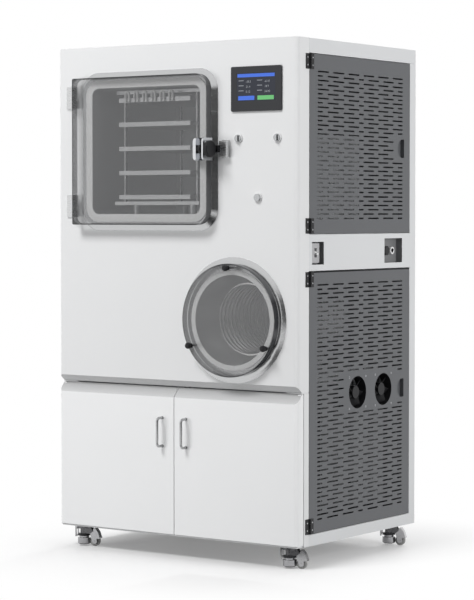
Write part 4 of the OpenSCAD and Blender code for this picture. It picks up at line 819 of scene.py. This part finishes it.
def lit_field(left, top, wide, tall, material, name):
    """A lit patch of the display; its place and size are shares of the display's size."""
    deselect()
    bpy.ops.mesh.primitive_plane_add(
        size=1, rotation=(math.pi / 2, 0, 0),
        location=on_display(left + wide / 2, top + tall / 2, FIELD_OUT))
    patch = bpy.context.object
    patch.scale = (screen_wide * wide, screen_tall * tall, 1)
    finish_piece(patch, material, "cabinet", name)


bar_blue = glow_material("lit_blue", (0.04, 0.11, 0.48), 0.5)
key_green = glow_material("lit_key_green", (0.10, 0.34, 0.12), 0.5)
figure_grey = glow_material("lit_grey", (0.22, 0.23, 0.25), 0.5)
lit_field(0.02, 0.03, 0.96, 0.12, bar_blue, "display_bar")
lit_field(0.04, 0.82, 0.42, 0.15, bar_blue, "display_key_left")
lit_field(0.54, 0.82, 0.42, 0.15, key_green, "display_key_right")


def lit_figures(words, left, top, tall, name):
    """Figures on the display, set as text and made a mesh."""
    deselect()
    bpy.ops.object.text_add(rotation=(math.pi / 2, 0, 0),
                            location=on_display(left, top, FIGURES_OUT))
    line = bpy.context.object
    line.data.body = words
    line.data.size = screen_tall * tall
    line.data.align_y = "TOP"
    line.data.resolution_u = 3
    pick(line)
    bpy.ops.object.convert(target="MESH")
    finish_piece(bpy.context.object, figure_grey, "cabinet", name)


FIRST_ROW, ROW_PITCH = 0.26, 0.18
FIGURES_TALL = 0.11
MARK_SIZE = (0.13, 0.022)
COLUMNS = (("left", 0.05, 0.24, ("-38.5", "21.4", "0.12")),
           ("right", 0.53, 0.72, ("-61.0", "18.9", "24:00")))
for row in range(3):
    top = FIRST_ROW + row * ROW_PITCH
    for side, mark, figures, readings in COLUMNS:
        lit_field(mark, top, *MARK_SIZE, figure_grey, f"display_mark_{side}_{row + 1}")
        lit_figures(readings[row], figures, top, FIGURES_TALL, f"display_{side}_{row + 1}")

# ---------------------------------------------------------------- machinery behind the doors
# The vacuum pump, the hermetic compressor, the air-cooled coil, the electrical box and the
# welded lines that join them, in the finishes such units come in.

cast_grey = skin_material("cast_housing", (0.20, 0.21, 0.22), (0.27, 0.28, 0.29), roughness=0.5,
                          grain=260.0, depth=0.0004)
fin_metal = metal_material("fin_aluminium", (0.55, 0.56, 0.57), (0.68, 0.69, 0.7), roughness=0.35,
                           stretch=(1, 1, 8), lines=80.0)
enclosure = skin_material("enclosure_plastic", (0.50, 0.51, 0.52), (0.56, 0.57, 0.58),
                          roughness=0.45, grain=900.0)
dress("vacuum_pump", cast_grey, edge=0.0012)
dress("compressor", black_coat)
dress("heat_exchanger", fin_metal)
dress("electrical_box", enclosure, edge=0.0012)
dress("vacuum_line", stainless)

# ---------------------------------------------------------------- studio
# A pale floor that runs out into white, soft light from in front, above, the right and behind,
# three dark cards on the right that only polished faces see, and the camera.


def seen_rays(tree):
    """One for rays from the camera, a mirror or a clear piece; the others light the object."""
    path = add_node(tree, "ShaderNodeLightPath")
    direct = larger(tree, path.outputs["Is Camera Ray"], path.outputs["Is Glossy Ray"])
    return larger(tree, direct, path.outputs["Is Transmission Ray"])


FLOOR_SIZE = 16
FLOOR_INSET = 0.18      # the floor starts to pale this far inside the machine's right side
FADE_REACH = 0.65       # from there to pure white
FADE_START = 0.20       # how white it is under the machine
deselect()
bpy.ops.mesh.primitive_plane_add(size=FLOOR_SIZE, location=(0, 0, 0))
floor = bpy.context.object
floor.name = "studio_floor"
pick(floor)
floor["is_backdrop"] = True
floor_paint = bpy.data.materials.new("floor_paint")
floor_paint.use_nodes = True
tree = floor_paint.node_tree
shader = tree.nodes["Principled BSDF"]
# The floor throws back less light on the machine than the pale tone that is seen would
tint = add_node(tree, "ShaderNodeMix", data_type="RGBA")
tint.inputs[6].default_value = (0.16, 0.16, 0.16, 1)
tint.inputs[7].default_value = (0.9, 0.9, 0.9, 1)
tree.links.new(seen_rays(tree), tint.inputs[0])
tree.links.new(tint.outputs[2], shader.inputs["Base Color"])
shader.inputs["Roughness"].default_value = 0.55
white = add_node(tree, "ShaderNodeEmission", Strength=1.0)
white.inputs["Color"].default_value = (1, 1, 1, 1)
reach = reach_outside(tree, (0, 0, 0), (cad_high.x - FLOOR_INSET, cad_high.y, 0))
fade = map_range(tree, reach, (0, FADE_REACH), (FADE_START, 1), interpolation_type="SMOOTHSTEP")
share = add_node(tree, "ShaderNodeMath", operation="MULTIPLY")
mix = add_node(tree, "ShaderNodeMixShader")
tree.links.new(fade, share.inputs[0])
tree.links.new(seen_rays(tree), share.inputs[1])
tree.links.new(share.outputs["Value"], mix.inputs["Fac"])
tree.links.new(shader.outputs["BSDF"], mix.inputs[1])
tree.links.new(white.outputs["Emission"], mix.inputs[2])
tree.links.new(mix.outputs["Shader"], tree.nodes["Material Output"].inputs["Surface"])
floor.data.materials.append(floor_paint)

world = bpy.data.worlds.new("studio_world")
bpy.context.scene.world = world
world.use_nodes = True
tree = world.node_tree
ambient = tree.nodes["Background"]
ambient.inputs["Color"].default_value = (0.985, 0.99, 1.0, 1)
ambient.inputs["Strength"].default_value = 0.24
backdrop = add_node(tree, "ShaderNodeBackground", Strength=1.0)
backdrop.inputs["Color"].default_value = (1, 1, 1, 1)
mix = add_node(tree, "ShaderNodeMixShader")
tree.links.new(seen_rays(tree), mix.inputs["Fac"])
tree.links.new(ambient.outputs["Background"], mix.inputs[1])
tree.links.new(backdrop.outputs["Background"], mix.inputs[2])
tree.links.new(mix.outputs["Shader"], tree.nodes["World Output"].inputs["Surface"])


def soft_lamp(name, location, target, size, power):
    """A soft box that shines at a place, and isn't seen in polished faces."""
    lamp = bpy.data.lights.new(name, "AREA")
    lamp.shape = "RECTANGLE"
    lamp.size, lamp.size_y = size
    lamp.energy = power
    holder = bpy.data.objects.new(name, lamp)
    bpy.context.scene.collection.objects.link(holder)
    holder.location = location
    holder.rotation_euler = (Vector(target) - Vector(location)).to_track_quat("-Z", "Y").to_euler()
    holder.visible_glossy = False


soft_lamp("front_light", (-2.6, -5.2, 0.5), target=(0, 0, 0.7), size=(2.6, 2.0), power=125)
soft_lamp("high_light", (-1.1, -5.6, 7.0), target=(0, -0.3, 0.7), size=(3.0, 2.4), power=455)
soft_lamp("side_light", (4.8, 0.2, 1.5), target=(0, 0, 0.9), size=(2.4, 2.4), power=134)
soft_lamp("top_light", (0.3, 0.3, 5.2), target=(0, 0, 0.9), size=(3.0, 3.0), power=20)
soft_lamp("back_light", (-0.6, 5.6, 3.6), target=(0, 0, 0.8), size=(3.0, 2.4), power=210)

card_paint = bpy.data.materials.new("card_black")
card_paint.use_nodes = True
card_shader = card_paint.node_tree.nodes["Principled BSDF"]
card_shader.inputs["Base Color"].default_value = (0.02, 0.02, 0.02, 1)
card_shader.inputs["Roughness"].default_value = 0.9


def dark_card(name, location, rotation, size):
    """A black board that only mirror reflections show."""
    deselect()
    bpy.ops.mesh.primitive_plane_add(size=1, rotation=rotation, location=location)
    card = bpy.context.object
    card.name = name
    card.scale = (*size, 1)
    card.visible_camera = False
    card.visible_diffuse = False
    card.visible_shadow = False
    card.visible_transmission = False
    card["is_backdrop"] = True
    card.data.materials.append(card_paint)


dark_card("dark_card_right", (3.2, -1.3, 1.2), rotation=(0, math.pi / 2, 0), size=(3.4, 6.6))
dark_card("dark_card_front", (2.6, -7.6, 1.2), rotation=(math.pi / 2, 0, 0), size=(5.6, 3.4))
dark_card("dark_card_low", (0.95, -1.5, 0.004), rotation=(0, 0, 0), size=(1.5, 1.9))

# The camera stands well back on the right, level with the middle of the machine
LENS = 131.17                       # mm, on a sensor 36 mm tall
CAMERA_PLACE = (4.40355, -6.2393, 1.1669)
CAMERA_DOWN = math.radians(2.257)
CAMERA_TURN = math.radians(35.06)
camera_data = bpy.data.cameras.new("camera")
camera = bpy.data.objects.new("camera", camera_data)
bpy.context.scene.collection.objects.link(camera)
camera_data.sensor_fit = "VERTICAL"
camera_data.sensor_height = 36
camera_data.lens = LENS
camera_data.clip_end = 60
camera.location = CAMERA_PLACE
camera.rotation_euler = (math.pi / 2 - CAMERA_DOWN, 0, CAMERA_TURN)
bpy.context.scene.camera = camera
bpy.context.scene.view_settings.view_transform = "Standard"

low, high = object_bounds()
